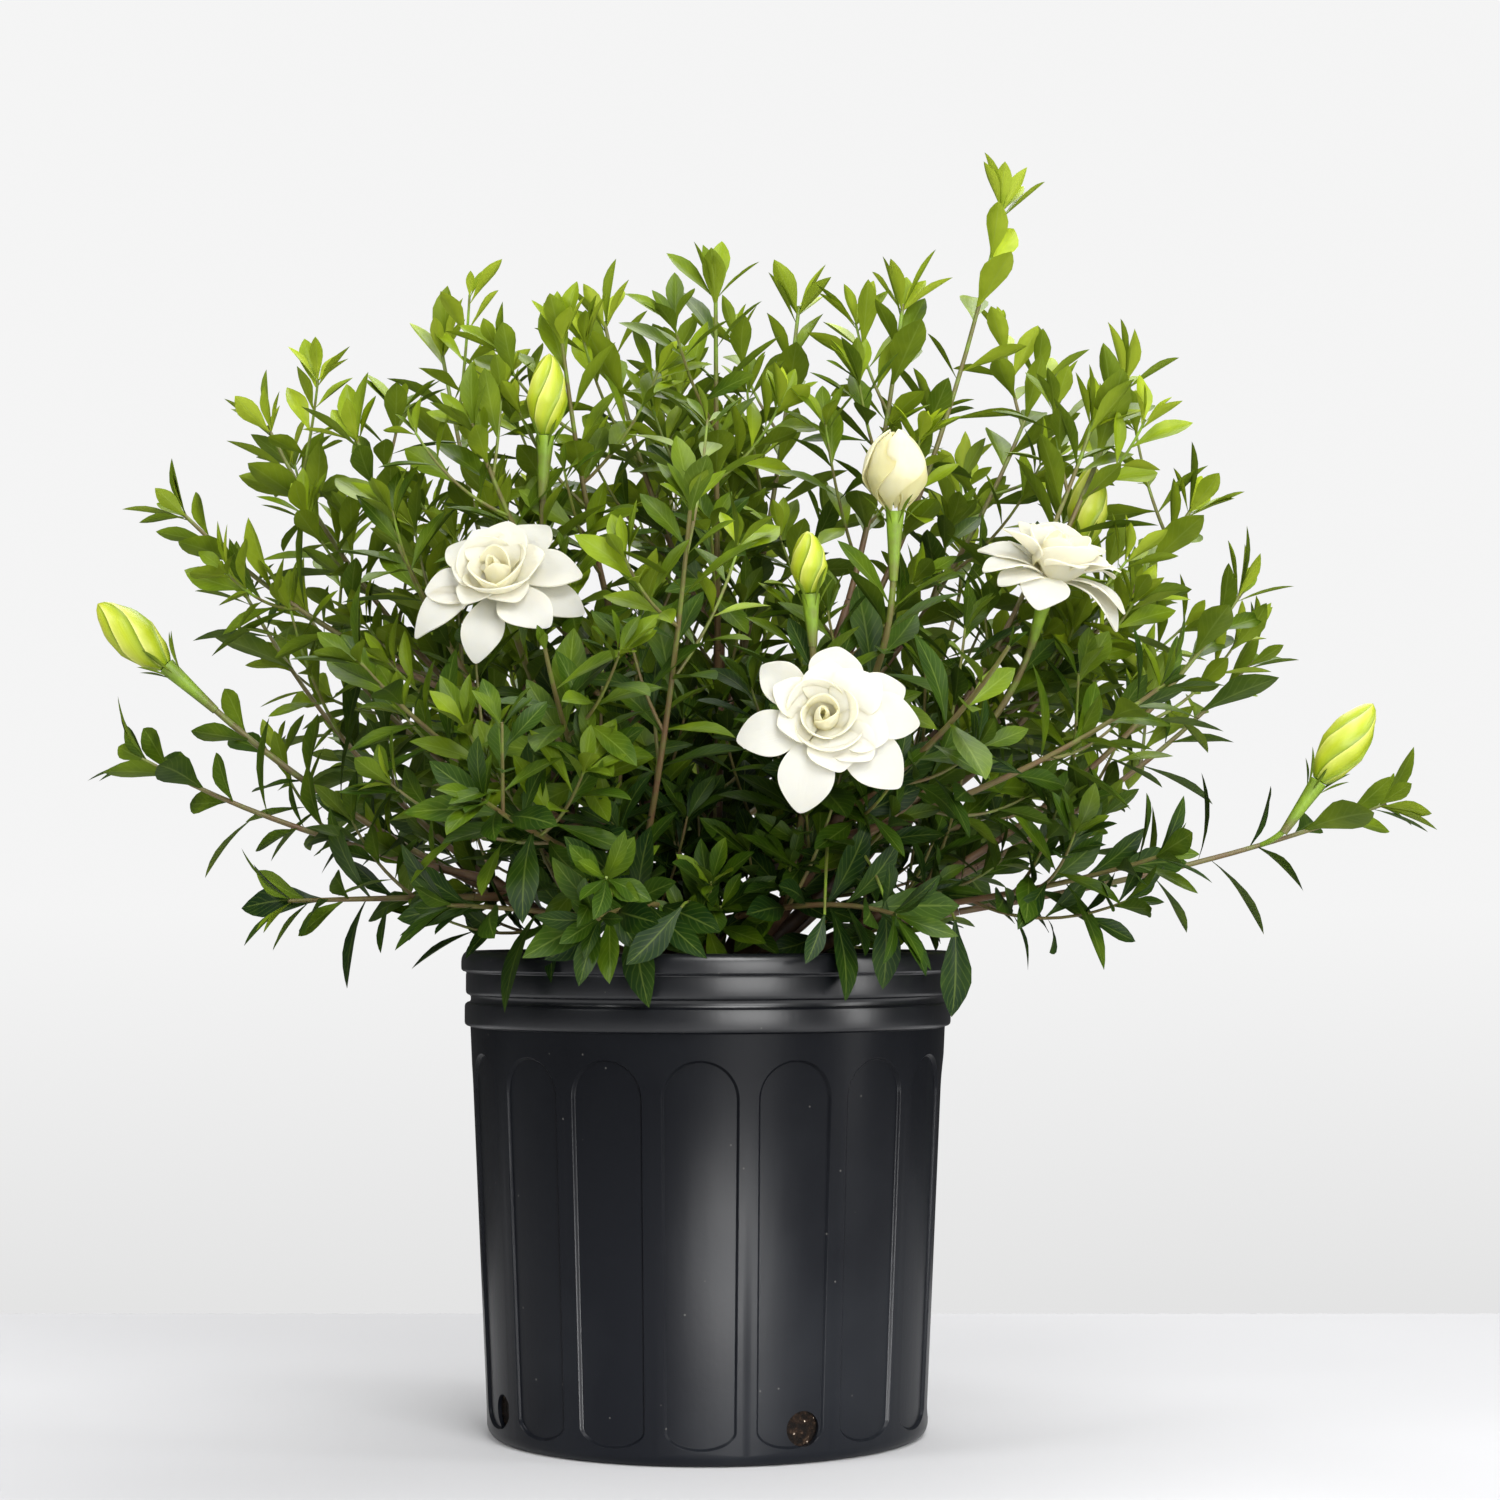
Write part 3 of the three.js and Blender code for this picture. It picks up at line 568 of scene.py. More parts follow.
# Each limb's head, the tips of its shoots, and its flowers on stalks of their own. A fourth number
# lifts the middle of a shoot.
limbs = [
    ((-0.100, -0.012, 0.256),
     [(-0.262, -0.020, 0.312), (-0.188, -0.060, 0.246), (-0.226, 0.050, 0.396)],
     ["bud_far_left"]),
    ((-0.085, 0.070, 0.285),
     [(-0.205, 0.118, 0.392), (-0.180, 0.160, 0.300), (-0.135, 0.190, 0.410)],
     []),
    ((-0.085, 0, 0.330),
     [(-0.248, 0, 0.429), (-0.214, 0.040, 0.476), (-0.160, -0.055, 0.458), (-0.132, 0.060, 0.518)],
     []),
    ((-0.040, -0.005, 0.362),
     [(-0.066, -0.060, 0.503), (-0.105, -0.075, 0.460)],
     ["bud_top_left"]),
    ((0.005, 0.030, 0.370),
     [(-0.051, 0.040, 0.527), (0.004, -0.050, 0.525), (0.044, 0.075, 0.541), (-0.025, 0.125, 0.500)],
     []),
    ((0.060, -0.005, 0.368),
     [(0.092, 0, 0.528), (0.142, 0.025, 0.583), (0.165, 0.085, 0.507)],
     ["bud_opening"]),
    ((0.105, 0.005, 0.322),
     [(0.198, 0, 0.493), (0.231, 0.020, 0.434), (0.180, -0.020, 0.470)],
     ["bud_back_right"]),
    ((0.105, -0.010, 0.256),
     [(0.247, -0.030, 0.389), (0.262, 0.040, 0.362), (0.203, -0.070, 0.266), (0.318, 0, 0.292)],
     []),
    ((0.060, -0.070, 0.285),
     [(0.128, -0.170, 0.352), (0.200, -0.115, 0.340)],
     ["bloom_right", "bloom_front", "bud_front"]),
    ((-0.048, -0.065, 0.285),
     [(-0.066, -0.170, 0.351), (-0.150, -0.125, 0.350), (-0.092, -0.165, 0.288),
      (-0.005, -0.165, 0.415)],
     ["bloom_left"]),
    ((0, 0.080, 0.290),
     [(-0.060, 0.215, 0.335), (0.070, 0.215, 0.350), (0.005, 0.185, 0.465)],
     []),
    ((0.092, 0.072, 0.290),
     [(0.212, 0.112, 0.395), (0.185, 0.158, 0.300), (0.135, 0.185, 0.430)],
     []),
    ((0, -0.048, 0.240),
     [(-0.045, -0.138, 0.238, 0.010), (0.083, -0.112, 0.240, 0.014), (-0.112, -0.108, 0.244, 0.008)],
     []),
]

# Flowers: where the petals or the bud start, the way the flower faces, the length and radius of a
# bud, and the length of the green tube below.
flowers = {
    "bloom_left": {"at": (-0.091, -0.090, 0.386), "facing": (-0.15, -0.75, 0.6), "tube": 0.026},
    "bloom_front": {"at": (0.051, -0.146, 0.322), "facing": (0, -0.96, 0.28), "tube": 0.024},
    "bloom_right": {"at": (0.156, -0.060, 0.392), "facing": (0.25, -0.35, 0.9), "tube": 0.026},
    "bud_opening": {
        "at": (0.084, -0.090, 0.419), "facing": (0.02, -0.1, 1), "tube": 0.026,
        "size": (0.036, 0.0144),
    },
    "bud_top_left": {
        "at": (-0.073, -0.060, 0.457), "facing": (0.05, -0.05, 1), "tube": 0.024,
        "size": (0.037, 0.009),
    },
    "bud_front": {
        "at": (0.046, -0.112, 0.380), "facing": (-0.05, -0.1, 1), "tube": 0.018,
        "size": (0.027, 0.008),
    },
    "bud_far_left": {
        "at": (-0.253, -0.010, 0.356), "facing": (-0.74, -0.05, 0.67), "tube": 0.026,
        "size": (0.043, 0.0105),
    },
    "bud_far_right": {
        "at": (0.285, -0.010, 0.302), "facing": (0.57, -0.05, 0.82), "tube": 0.024,
        "size": (0.044, 0.0105),
    },
    "bud_back_right": {
        "at": (0.177, 0.002, 0.414), "facing": (0.12, 0, 1), "tube": 0.022,
        "size": (0.038, 0.0095),
    },
}
tube_ends = {"bloom": -0.0033, "bud": -0.0003}
fused_bud = "bud_back_right"
fused_tube_end = 0.001
side_bud = {"name": "bud_far_right", "shoot_tip": (0.318, 0, 0.292), "place": 0.72}


class Stem:
    """A quadratic curve with its level side and its lift, on which rods and leaves are placed."""

    def __init__(self, start, middle, end):
        self.start, self.middle, self.end = start, middle, end
        chord = (end - start).normalized()
        level = up if abs(chord.z) < 0.95 else Vector((1, 0, 0))
        self.side = chord.cross(level).normalized()
        self.lift = self.side.cross(chord).normalized()

    def point(self, t):
        return self.start * (1 - t) ** 2 + self.middle * 2 * t * (1 - t) + self.end * t ** 2

    def slope(self, t):
        return (self.middle - self.start) * 2 * (1 - t) + (self.end - self.middle) * 2 * t

    def across(self, t, angle):
        """The direction square to the stem at t, turned round it by an angle from its side."""
        along = self.slope(t).normalized()
        out = self.side * math.cos(angle) + self.lift * math.sin(angle)
        return (out - along * out.dot(along)).normalized()

    def swung(self, swing):
        return Stem(self.start, self.middle + self.side * swing, self.end)


def rising_stem(start, end, rise, swing):
    """A stem that sets out level and then turns up to its end."""
    span = end - start
    onward = Vector((span.x * outward_share, span.y * outward_share, span.z * upward_share + rise))
    return Stem(start, start + onward, end).swung(swing)


def stalk_stem(start, foot, facing, swing):
    """A flower's stalk, which comes in along the way that the flower faces."""
    middle = foot - facing * ((foot - start).length * stalk_share)
    return Stem(start, middle, foot).swung(swing)


def facing_of(flower):
    return Vector(flower["facing"]).normalized()


def tube_end(name):
    """Where the green tube under a flower ends, and the way the flower faces."""
    flower = flowers[name]
    facing = facing_of(flower)
    beyond = fused_tube_end if name == fused_bud else tube_ends[name.split("_")[0]]
    return Vector(flower["at"]) + facing * beyond, facing


def stalk_foot(name):
    end, facing = tube_end(name)
    return end - facing * flowers[name]["tube"]


rod_master = new_mesh(bpy.ops.mesh.primitive_cylinder_add, vertices=rod_sides, radius=1, depth=1)
edit_all(rod_master)
for step in range(1, rod_steps):
    bpy.ops.mesh.select_all(action="SELECT")
    bpy.ops.mesh.bisect(plane_co=(0, 0, step / rod_steps - 0.5), plane_no=(0, 0, 1))
bpy.ops.object.mode_set(mode="OBJECT")
bpy.ops.object.shade_smooth_by_angle(angle=math.radians(60))


def set_tone(piece, values):
    """Writes the tone of each vertex, by which the materials colour it."""
    tone = piece.data.attributes.get("tone") or piece.data.attributes.new("tone", "FLOAT", "POINT")
    tone.data.foreach_set("value", np.broadcast_to(values, len(piece.data.vertices)).astype(np.float32))


def blend(first, last, share):
    return first + (last - first) * share


def lay_rod(stem, span, radii, tones):
    """A tapered rod bent along a stretch of a stem, its tone running from the first to the second."""
    rod = copy_of(rod_master)
    places = points_of(rod)
    shares = places[:, 2] + 0.5
    for index, (x, y, share) in enumerate(zip(places[:, 0], places[:, 1], shares)):
        t = blend(*span, share)
        side = stem.across(t, 0)
        other = side.cross(stem.slope(t).normalized())
        radius = blend(*radii, share)
        places[index] = stem.point(t) + side * (x * radius) - other * (y * radius)
    move_points(rod, places)
    set_tone(rod, blend(*tones, shares))
    return rod


def reckon(tree, operation, *values):
    """The outcome of one operation on values and outputs."""
    return add_node(tree, "Math", dict(enumerate(values)), operation=operation).outputs["Value"]


def tone_of(tree):
    return add_node(tree, "Attribute", attribute_name="tone").outputs["Fac"]


def blotched(tree, value, blotches, amount):
    """A value that drifts up and down by an amount with a blotchy noise."""
    return reckon(tree, "ADD", value, remap(tree, blotches, (0.3, 0.7), (-amount, amount)))


stem_skin, tree, shader = plain_material("stem_skin", (0.1, 0.15, 0.03), 0.5)
patches = noise(tree, add_node(tree, "TexCoord").outputs["Object"], 120.0, 4.0)
age = blotched(tree, tone_of(tree), patches, 0.14)
feed(shader, {
    "Base Color": ramp(tree, age, *stem_stops),
    "Normal": bump(tree, patches, 0.35, 0.0005),
})
rod_master.data.materials.append(stem_skin)

trunk = Stem(
    Vector((0, 0, trunk_bottom)), Vector((0, 0, (trunk_bottom + trunk_top) / 2)),
    Vector((0, 0, trunk_top)),
)
wood = [lay_rod(trunk, (0, 1), trunk_radii, trunk_tones)]
limb_stems = []
for head, _, _ in limbs:
    start = Vector((head[0] * limb_start_share, head[1] * limb_start_share, limb_start_height))
    limb_stem = rising_stem(start, Vector(head), 0, 0)
    limb_stems.append(limb_stem)
    wood.append(lay_rod(limb_stem, (0, 1), limb_radii, limb_tones))

shoots = []
for limb_stem, (_, tips, stalked) in zip(limb_stems, limbs):
    for order, target in enumerate(tips + stalked):
        shoots.append({
            "number": len(shoots) + 1,
            "node": f"shoot_{len(shoots) + 1:02d}",
            "start": limb_stem.point(1 - start_step * order),
            "tip": None if isinstance(target, str) else target,
            "flower": target if isinstance(target, str) else None,
        })


def corners_of(node):
    """A search tree of the corners of a node's solid, in which a corner's place can be looked up."""
    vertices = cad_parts[node].data.vertices
    tree = kdtree.KDTree(len(vertices))
    for index, vertex in enumerate(vertices):
        tree.insert(vertex.co, index)
    tree.balance()
    return tree


def is_corner(tree, place):
    return tree.find(place)[2] < match_gap


def find_stem(shoot):
    """Tries each swing, and keeps the stem whose green part starts at corners of the solid."""
    shoot["corners"] = corners_of(shoot["node"])
    for swing in stem_swings:
        if shoot["flower"]:
            foot = stalk_foot(shoot["flower"])
            stem = stalk_stem(shoot["start"], foot, tube_end(shoot["flower"])[1], swing)
        else:
            rise = shoot["tip"][3] if len(shoot["tip"]) > 3 else 0
            stem = rising_stem(shoot["start"], Vector(shoot["tip"][:3]), rise, swing)
        green_start = wood_share + seat_gap / stem.slope(wood_share).length
        other = stem.across(green_start, 0).cross(stem.slope(green_start).normalized())
        if is_corner(shoot["corners"], stem.point(green_start) + other * green_corner):
            shoot["stem"] = stem
            shoot["green_start"] = green_start
            return
    raise RuntimeError(f"no stem found for {shoot['node']}")


for shoot in shoots:
    find_stem(shoot)
    wood.append(lay_rod(shoot["stem"], (0, wood_share), wood_radii, wood_tones))
woody_stems = join_pieces(wood, "bark_stems")
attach(woody_stems, "root")
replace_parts(woody_stems, "woody_stems")

# Shoots
# Each shoot's green part bears pairs of crossed leaves, a tuft or a flower at its tip and, on all
# but the outermost, short side twigs. A leaf is thin and glossy, folded up along a pale midrib. It
# is narrow at its foot and widest beyond its middle, and it grows darker with age. Leaves nearer
# the trunk are darker too, partly with age and partly as painted shade inside the bush.

# A leaf's shape at a length of 1, and the square grid that it is made from
leaf_columns = 4
leaf_outline = [
    (0.0, 0.013), (0.16, 0.046), (0.34, 0.110), (0.51, 0.160), (0.66, 0.166), (0.80, 0.124),
    (0.92, 0.060), (1.0, 0.0),
]
leaf_hollow = 0.62
leaf_depth = 0.035
leaf_shapes = {
    "young": {"droop": 0.05, "fold": 0.4},
    "grown": {"droop": 0.16, "fold": 0.26},
    "old": {"droop": 0.3, "fold": 0.15},
}
grid_hair = 1e-4
grid_edge = 0.5 - grid_hair
fold_line = 0.25
# How much light comes through a leaf, its side veins' spacing and slant, and its pale midrib
leaf_glow = 0.28
vein_count = 9.0
vein_slant = -5.0
vein_stops = [(0.0, (1, 1, 1)), (0.16, (0, 0, 0)), (0.84, (0, 0, 0)), (1.0, (1, 1, 1))]
vein_strength = 0.10
midrib_stops = [(0.0, (0.28, 0.28, 0.28)), (0.018, (0.2, 0.2, 0.2)), (0.045, (0, 0, 0))]
# A leaf's youth by its height, and its tone by its youth and its distance from the trunk
young_youth = 0.8
old_youth = 0.15
young_height = 0.470
old_height = 0.275
bush_radius = 0.25
tone_start = 0.18
tone_rise = 0.48
# Darker towards the trunk: partly age, partly painted shade inside the bush
outward_tone_and_painted_shade = 0.24
tone_drift = 0.18
tone_limits = (0.02, 0.95)
# The leaves that the solids have, pair by pair, and how far its draws may take each one
leaf_lengths = [0.038, 0.043, 0.041, 0.031]
leaf_angles = [64, 54, 46, 27]
leaf_places = [0.26, 0.52, 0.76, 0.96]
leaf_turns = [0, 24, -24, 48, -48, 72, -72]
stalk_pairs = 3
leaf_light = 0.6
leaf_foot = 0.0003
pair_stagger = 0.025
stalk_leaf_reach = 0.95
turn_drift = 16
lean_drift = 9
length_drift = 0.1
form_drift = 0.5
green_steps = 3
solid_seed_step = 7919
solid_seed_start = 17
solid_leaf_width = 1.12
solid_leaf_twist = 0.15
seen_share = 0.7
# The finer leaves between them, and the spans of their random draws
between_places = [0.39, 0.64, 0.87]
between_lean = 60
between_lean_step = 10
between_lengths = (0.028, 0.037)
between_stagger = 0.015
fine_leaf_foot = 0.0008
fine_turn_drift = 0.4
fine_lean_drift = 12
sky_light = 0.45
out_light = (0.2, 1.0)
youth_per_tone = 1.15
youth_draw = (-0.15, 0.15)
tone_draw = (-0.17, 0.15)
bend_draw = (-0.12, 0.12)
twist_draw = (-0.5, 0.5)
width_draw = (0.85, 1.2)
# The tufts at the tips, and the folded pair where a tuft has no room
tip_place = 0.985
tuft_leaves = 5
least_tuft = 3
tuft_leans = (15, 50)
tuft_sizes = (0.65, 1.05)
tuft_turn = math.pi * 0.55
tuft_brightness = 0.12
shoot_tuft = 0.030
twig_tuft = 0.025
tip_pair_length = 0.013
tip_pair_lean = math.radians(13)
# The side twigs, and how many there are on each shoot that hasn't the usual number
twig_places = [0.30, 0.50, 0.68, 0.84, 0.14, 0.40]
twig_place_drift = 0.04
twig_lengths = (0.040, 0.078)
twig_leans = (34, 58)
twig_turn = 2.4
twig_turn_draw = 1.5
twig_onward = 0.8
twig_upward = 0.35
twig_margin = 0.012
twig_test = 0.6
twig_radii = (0.0009, 0.0006)
twig_leaf_places = [0.28, 0.50, 0.72, 0.92]
twig_leaf_lengths = (0.026, 0.035)
twig_leaf_lean = 62
twig_leaf_lean_step = 9
twig_leaf_drift = 0.3
twig_leaf_stagger = 0.02
twig_lean_drift = 10
last_pair_share = 0.85
usual_twigs = 6
twig_counts = {
    1: 1, 2: 1, 3: 2, 4: 0, 8: 2, 14: 1, 20: 1, 22: 1, 26: 1, 27: 2, 28: 2, 30: 0,
    33: 1, 34: 1, 35: 1, 40: 1, 47: 1, 48: 1, 49: 1,
}
# The tones of a green rod's two ends, and how much each takes on of its leaves' tone
green_tones = ((0.34, 0), (0.5, 0.2))
twig_tones = ((0.42, 0.2), (0.52, 0.25))
# The twigs on the limbs, inside the bush
inner_twigs = 9
inner_seed = 77
inner_start = 0.38
inner_stretch = 0.6
inner_place_drift = 0.05
inner_reach = 0.07
# Leaves that hang over the pot's rim: foot, tip and width
rim_leaves = [
    ((0.079, -0.100, 0.246), (0.081, -0.102, 0.2076), 1.0),
    ((0.112, -0.058, 0.2375), (0.114, -0.062, 0.1945), 1.0),
    ((0.052, -0.116, 0.240), (0.046, -0.128, 0.2200), 1.05),
    ((-0.010, -0.120, 0.243), (-0.030, -0.132, 0.2180), 1.2),
    ((-0.040, -0.122, 0.238), (-0.066, -0.130, 0.2190), 1.1),
]
rim_leaf_tone = 0.02
rim_leaf_bend = 0.05
rim_leaf_twist = 0.2
rim_twig_start = 0.9
rim_twig_rise = 0.012
rim_twig_tones = (0.4, 0.7)
# How near growth may come to the flowers, to the lines of sight on them, to the pot's rim, and to
# the edge of the bush
bloom_reach = 0.043
bloom_view = 0.130
bloom_overlap = 0.002
bud_margin = 0.006
flower_gap = 0.004
flower_back = 0.006
free_floor = 0.209
free_rim_inner = 0.094
free_rim_outer = 0.120
free_rim_top = 0.227
box_slack = 0.004
bush_heart = Vector((0, 0, 0.26))
tuft_reach = 0.024


def shape_rows(blade, outline, droop):
    """Moves the rows of a square grid to their places on an outline, at their half widths."""
    for row, (share, half) in reversed(list(enumerate(outline))):
        start = row / (len(outline) - 1)
        select_points(blade, lambda co: abs(co.y - start) < grid_hair)
        bpy.ops.transform.resize(value=(2 * half, 1, 2 * half), center_override=(0, start, 0))
        bpy.ops.transform.translate(value=(0, share - start, -droop * share ** 2))
    bpy.ops.mesh.select_all(action="SELECT")
    bpy.ops.mesh.remove_doubles(threshold=grid_hair)
    bpy.ops.object.mode_set(mode="OBJECT")


def add_blade(columns, outline):
    """A flat square grid along Y with a row for each place of an outline."""
    blade = new_mesh(
        bpy.ops.mesh.primitive_grid_add, x_subdivisions=columns, y_subdivisions=len(outline) - 1,
        size=1, location=(0, 0.5, 0),
    )
    fix_place(blade)
    return blade


def make_leaf_master(droop, fold):
    """A leaf of length 1 from the origin along Y, its upper side up, as a thin closed shell."""
    leaf = add_blade(leaf_columns, leaf_outline)
    edit_all(leaf)
    bpy.ops.mesh.duplicate()
    bpy.ops.mesh.flip_normals()
    bpy.ops.transform.translate(value=(0, 0, -leaf_depth))
    select_points(leaf, lambda co: (
        co.z < -grid_hair and (abs(co.x) > grid_edge or abs(co.y - 0.5) > grid_edge)
    ))
    bpy.ops.transform.translate(value=(0, 0, leaf_depth))
    bpy.ops.mesh.select_all(action="SELECT")
    bpy.ops.mesh.remove_doubles(threshold=grid_hair)
    bpy.ops.object.mode_set(mode="OBJECT")
    for polygon in leaf.data.polygons:
        polygon.material_index = 1 if polygon.normal.z < 0 else 0
    select_points(leaf, lambda co: abs(co.x) > grid_edge)
    bpy.ops.transform.translate(value=(0, 0, fold * 0.5))
    select_points(leaf, lambda co: abs(abs(co.x) - fold_line) < grid_hair)
    bpy.ops.transform.translate(value=(0, 0, fold * 0.5 * leaf_hollow))
    shape_rows(leaf, leaf_outline, droop)
    bpy.ops.object.shade_smooth_by_angle(angle=math.radians(70))
    return leaf


def let_light_through(tree, shader, colour, share):
    """Mixes a shader with light that shines through from behind, as the material's surface."""
    through = add_node(tree, "BsdfTranslucent", {"Color": colour}).outputs["BSDF"]
    both = add_node(tree, "MixShader", {"Fac": share, 1: shader.outputs["BSDF"], 2: through})
    feed(tree.nodes["Material Output"], {"Surface": both.outputs["Shader"]})


def leaf_material(name, stops, midrib_colour, roughness, vein_depth):
    """A glossy leaf side: its colour by tone, with a midrib, side veins and light through it."""
    material, tree, shader = plain_material(name, stops[1][1], roughness)
    place = add_node(tree, "TexCoord").outputs
    youth = blotched(tree, tone_of(tree), noise(tree, place["Object"], 55.0, 4.0), 0.12)
    green = ramp(tree, youth, *stops)
    across, along, _ = add_node(tree, "SeparateXYZ", {"Vector": place["UV"]}).outputs
    beside = reckon(tree, "ABSOLUTE", reckon(tree, "SUBTRACT", across, 0.5))
    up_the_leaf = reckon(tree, "MULTIPLY", along, vein_count)
    rank = reckon(tree, "ADD", up_the_leaf, reckon(tree, "MULTIPLY", beside, vein_slant))
    veins = ramp(tree, reckon(tree, "FRACT", rank), *vein_stops)
    faint_veins = reckon(tree, "MULTIPLY", veins, vein_strength)
    lines = reckon(tree, "MAXIMUM", ramp(tree, beside, *midrib_stops), faint_veins)
    lined = add_node(tree, "MixRGB", {"Fac": lines, "Color1": green, "Color2": (*midrib_colour, 1)})
    feed(shader, {
        "Base Color": lined.outputs["Color"],
        "Specular IOR Level": 0.22,
        "Normal": bump(tree, lines, vein_depth, 0.0005),
    })
    let_light_through(tree, shader, lined.outputs["Color"], leaf_glow)
    return material


leaf_upper = leaf_material(
    "leaf_upper",
    [(0.0, (0.009, 0.032, 0.004)), (0.3, (0.042, 0.092, 0.003)), (0.6, (0.150, 0.228, 0.006)),
     (0.85, (0.28, 0.385, 0.010)), (1.0, (0.43, 0.53, 0.02))],
    (0.34, 0.46, 0.08), 0.40, 0.35,
)
leaf_under = leaf_material(
    "leaf_underside",
    [(0.0, (0.026, 0.058, 0.009)), (0.3, (0.075, 0.135, 0.009)), (0.6, (0.185, 0.262, 0.014)),
     (0.85, (0.30, 0.39, 0.02)), (1.0, (0.42, 0.51, 0.04))],
    (0.36, 0.46, 0.10), 0.5, 0.25,
)
leaf_masters = {form: make_leaf_master(**shape) for form, shape in leaf_shapes.items()}
for master in leaf_masters.values():
    master.data.materials.append(leaf_upper)
    master.data.materials.append(leaf_under)


def lay_leaf(form, root, way, face, length, tone, bend=0.0, twist=0.0, width=1.0):
    """A leaf on its root, along a way with its upper side to a face, bent aside and twisted."""
    leaf = copy_of(leaf_masters[form])
    x, y, z = points_of(leaf).T
    turn = twist * y
    aside = (x * np.cos(turn) - z * np.sin(turn)) * width + bend * y ** 2
    raised = x * np.sin(turn) + z * np.cos(turn)
    axes = np.array([way.cross(face).normalized(), way, face])
    move_points(leaf, np.array(root) + length * (np.stack([aside, y, raised], 1) @ axes))
    set_tone(leaf, tone)
    return leaf


class Draws:
    """The same seeded draws, from 0 to 1, as the solids were grown with, each from the last."""

    def __init__(self, seed):
        self.state = seed % 2 ** 32

    def next(self):
        self.state = (self.state * 1664525 + 1013904223) % 2 ** 32
        return self.state / 2 ** 32

    def spread(self, amount):
        return (self.next() * 2 - 1) * amount


def rod_point(stem, t, start, steps):
    """The point at t on the straight runs of a solid rod along a stem."""
    run = min(math.floor((t - start) / (1 - start) * steps), steps - 1)
    low = start + (1 - start) * run / steps
    high = start + (1 - start) * (run + 1) / steps
    return stem.point(low).lerp(stem.point(high), (t - low) / (high - low))


def leaf_ways(along, out, lean, light):
    """The way and the face of a leaf that leans off a stem, its face turned towards the light."""
    way = along * math.cos(lean) + out * math.sin(lean)
    face = along * math.sin(lean) - out * math.cos(lean) + light
    return way, (face - way * face.dot(way)).normalized()


def youth_at(height):
    return (height - old_height) / (young_height - old_height)


def drift(chance, amount):
    return chance.uniform(-amount, amount)


def tones_with(ends, tone):
    return [start + gain * tone for start, gain in ends]


def form_for(youth):
    if youth > young_youth:
        return "young"
    return "old" if youth < old_youth else "grown"


def solid_leaf(shoot, pair, side, draws):
    """The leaf that the shoot's solid has at this place of this pair, or None."""
    stem, start = shoot["stem"], shoot["green_start"]
    reach = stalk_leaf_reach if shoot["flower"] else 1
    turn = pair * 90 + side * 180 + draws.spread(turn_drift)
    lean = math.radians(leaf_angles[pair] + draws.spread(lean_drift))
    length = leaf_lengths[pair] * (1 + draws.spread(length_drift))
    chance = draws.next()
    t = blend(start, 1, leaf_places[pair] * reach + side * pair_stagger)
    along = stem.slope(t).normalized()
    for extra in leaf_turns:
        out = stem.across(t, math.radians(turn + extra))
        way, face = leaf_ways(along, out, lean, up * leaf_light)
        root = rod_point(stem, t, start, green_steps) + out * leaf_foot
        form = form_for(youth_at(root.z) + (chance - 0.5) * form_drift)
        tip = root + way * length - face * (length * leaf_shapes[form]["droop"])
        if is_corner(shoot["corners"], tip):
            return {"form": form, "root": root, "way": way, "face": face, "length": length}
    return None


def hides_flower(place):
    """Whether a place stands between the camera and a flower."""
    for name, flower in flowers.items():
        at = Vector(flower["at"])
        if place.y > at.y or name == fused_bud:
            continue
        depth = (at.y - camera_place.y) / (place.y - camera_place.y)
        seen = camera_place + (place - camera_place) * depth - at
        if "size" not in flower:
            if seen.length < bloom_reach - bloom_overlap:
                return True
            continue
        length, radius = flower["size"]
        facing = facing_of(flower)
        share = min(max(seen.dot(facing), 0), length)
        if (seen - facing * share).length < radius + bud_margin:
            return True
    return False


def is_free(places):
    """Whether places are in the bush's box, clear of pot and soil, and of each flower and its view."""
    for place in places:
        if hides_flower(place):
            return False
        for value, low, high in zip(place, cad_low, cad_high):
            if value < low - box_slack or value > high + box_slack:
                return False
        reach = math.hypot(place.x, place.y)
        if place.z < free_floor and reach < free_rim_outer:
            return False
        if place.z < free_rim_top and free_rim_inner < reach < free_rim_outer:
            return False
        for flower in flowers.values():
            facing = facing_of(flower)
            at = Vector(flower["at"])
            ahead = (place - at).dot(facing)
            beside = (place - at - facing * ahead).length
            length, radius = flower.get("size", (bloom_view, bloom_reach))
            if -flower_back < ahead < length + flower_gap and beside < radius + flower_gap:
                return False
    return True


def try_leaf(pieces, stem, t, turn, lean, length, tone, chance, limit):
    """Adds a leaf on a stem where it is free to hang."""
    out = stem.across(t, turn)
    root = stem.point(t) + out * fine_leaf_foot
    outward = Vector((root.x, root.y, 0)).normalized()
    light = up * sky_light + outward * chance.uniform(*out_light)
    way, face = leaf_ways(stem.slope(t).normalized(), out, lean, light)
    form = form_for(tone * youth_per_tone + chance.uniform(*youth_draw))
    tone = min(max(tone + chance.uniform(*tone_draw), 0), 1)
    tip = root + way * length
    if (tip - bush_heart).length < limit and is_free([root + way * length * 0.5, tip]):
        pieces.append(lay_leaf(
            form, root, way, face, length, tone,
            chance.uniform(*bend_draw), chance.uniform(*twist_draw), chance.uniform(*width_draw),
        ))


def add_tuft(pieces, stem, length, tone, chance, limit):
    """Young leaves, upright round a tip. Where few have room, it ends in a small folded pair."""
    laid = len(pieces)
    first = chance.uniform(0, 2 * math.pi)
    bright = min(tone + tuft_brightness, 1)
    for number in range(tuft_leaves):
        lean = math.radians(chance.uniform(*tuft_leans))
        size = length * chance.uniform(*tuft_sizes)
        try_leaf(pieces, stem, tip_place, first + number * tuft_turn, lean, size, bright, chance, limit)
    if len(pieces) - laid >= least_tuft:
        return
    along = stem.slope(tip_place).normalized()
    for turn in (first, first + math.pi):
        way, face = leaf_ways(along, stem.across(tip_place, turn), tip_pair_lean, Vector((0, 0, 0)))
        pieces.append(lay_leaf("young", stem.point(tip_place), way, face, tip_pair_length, tone))


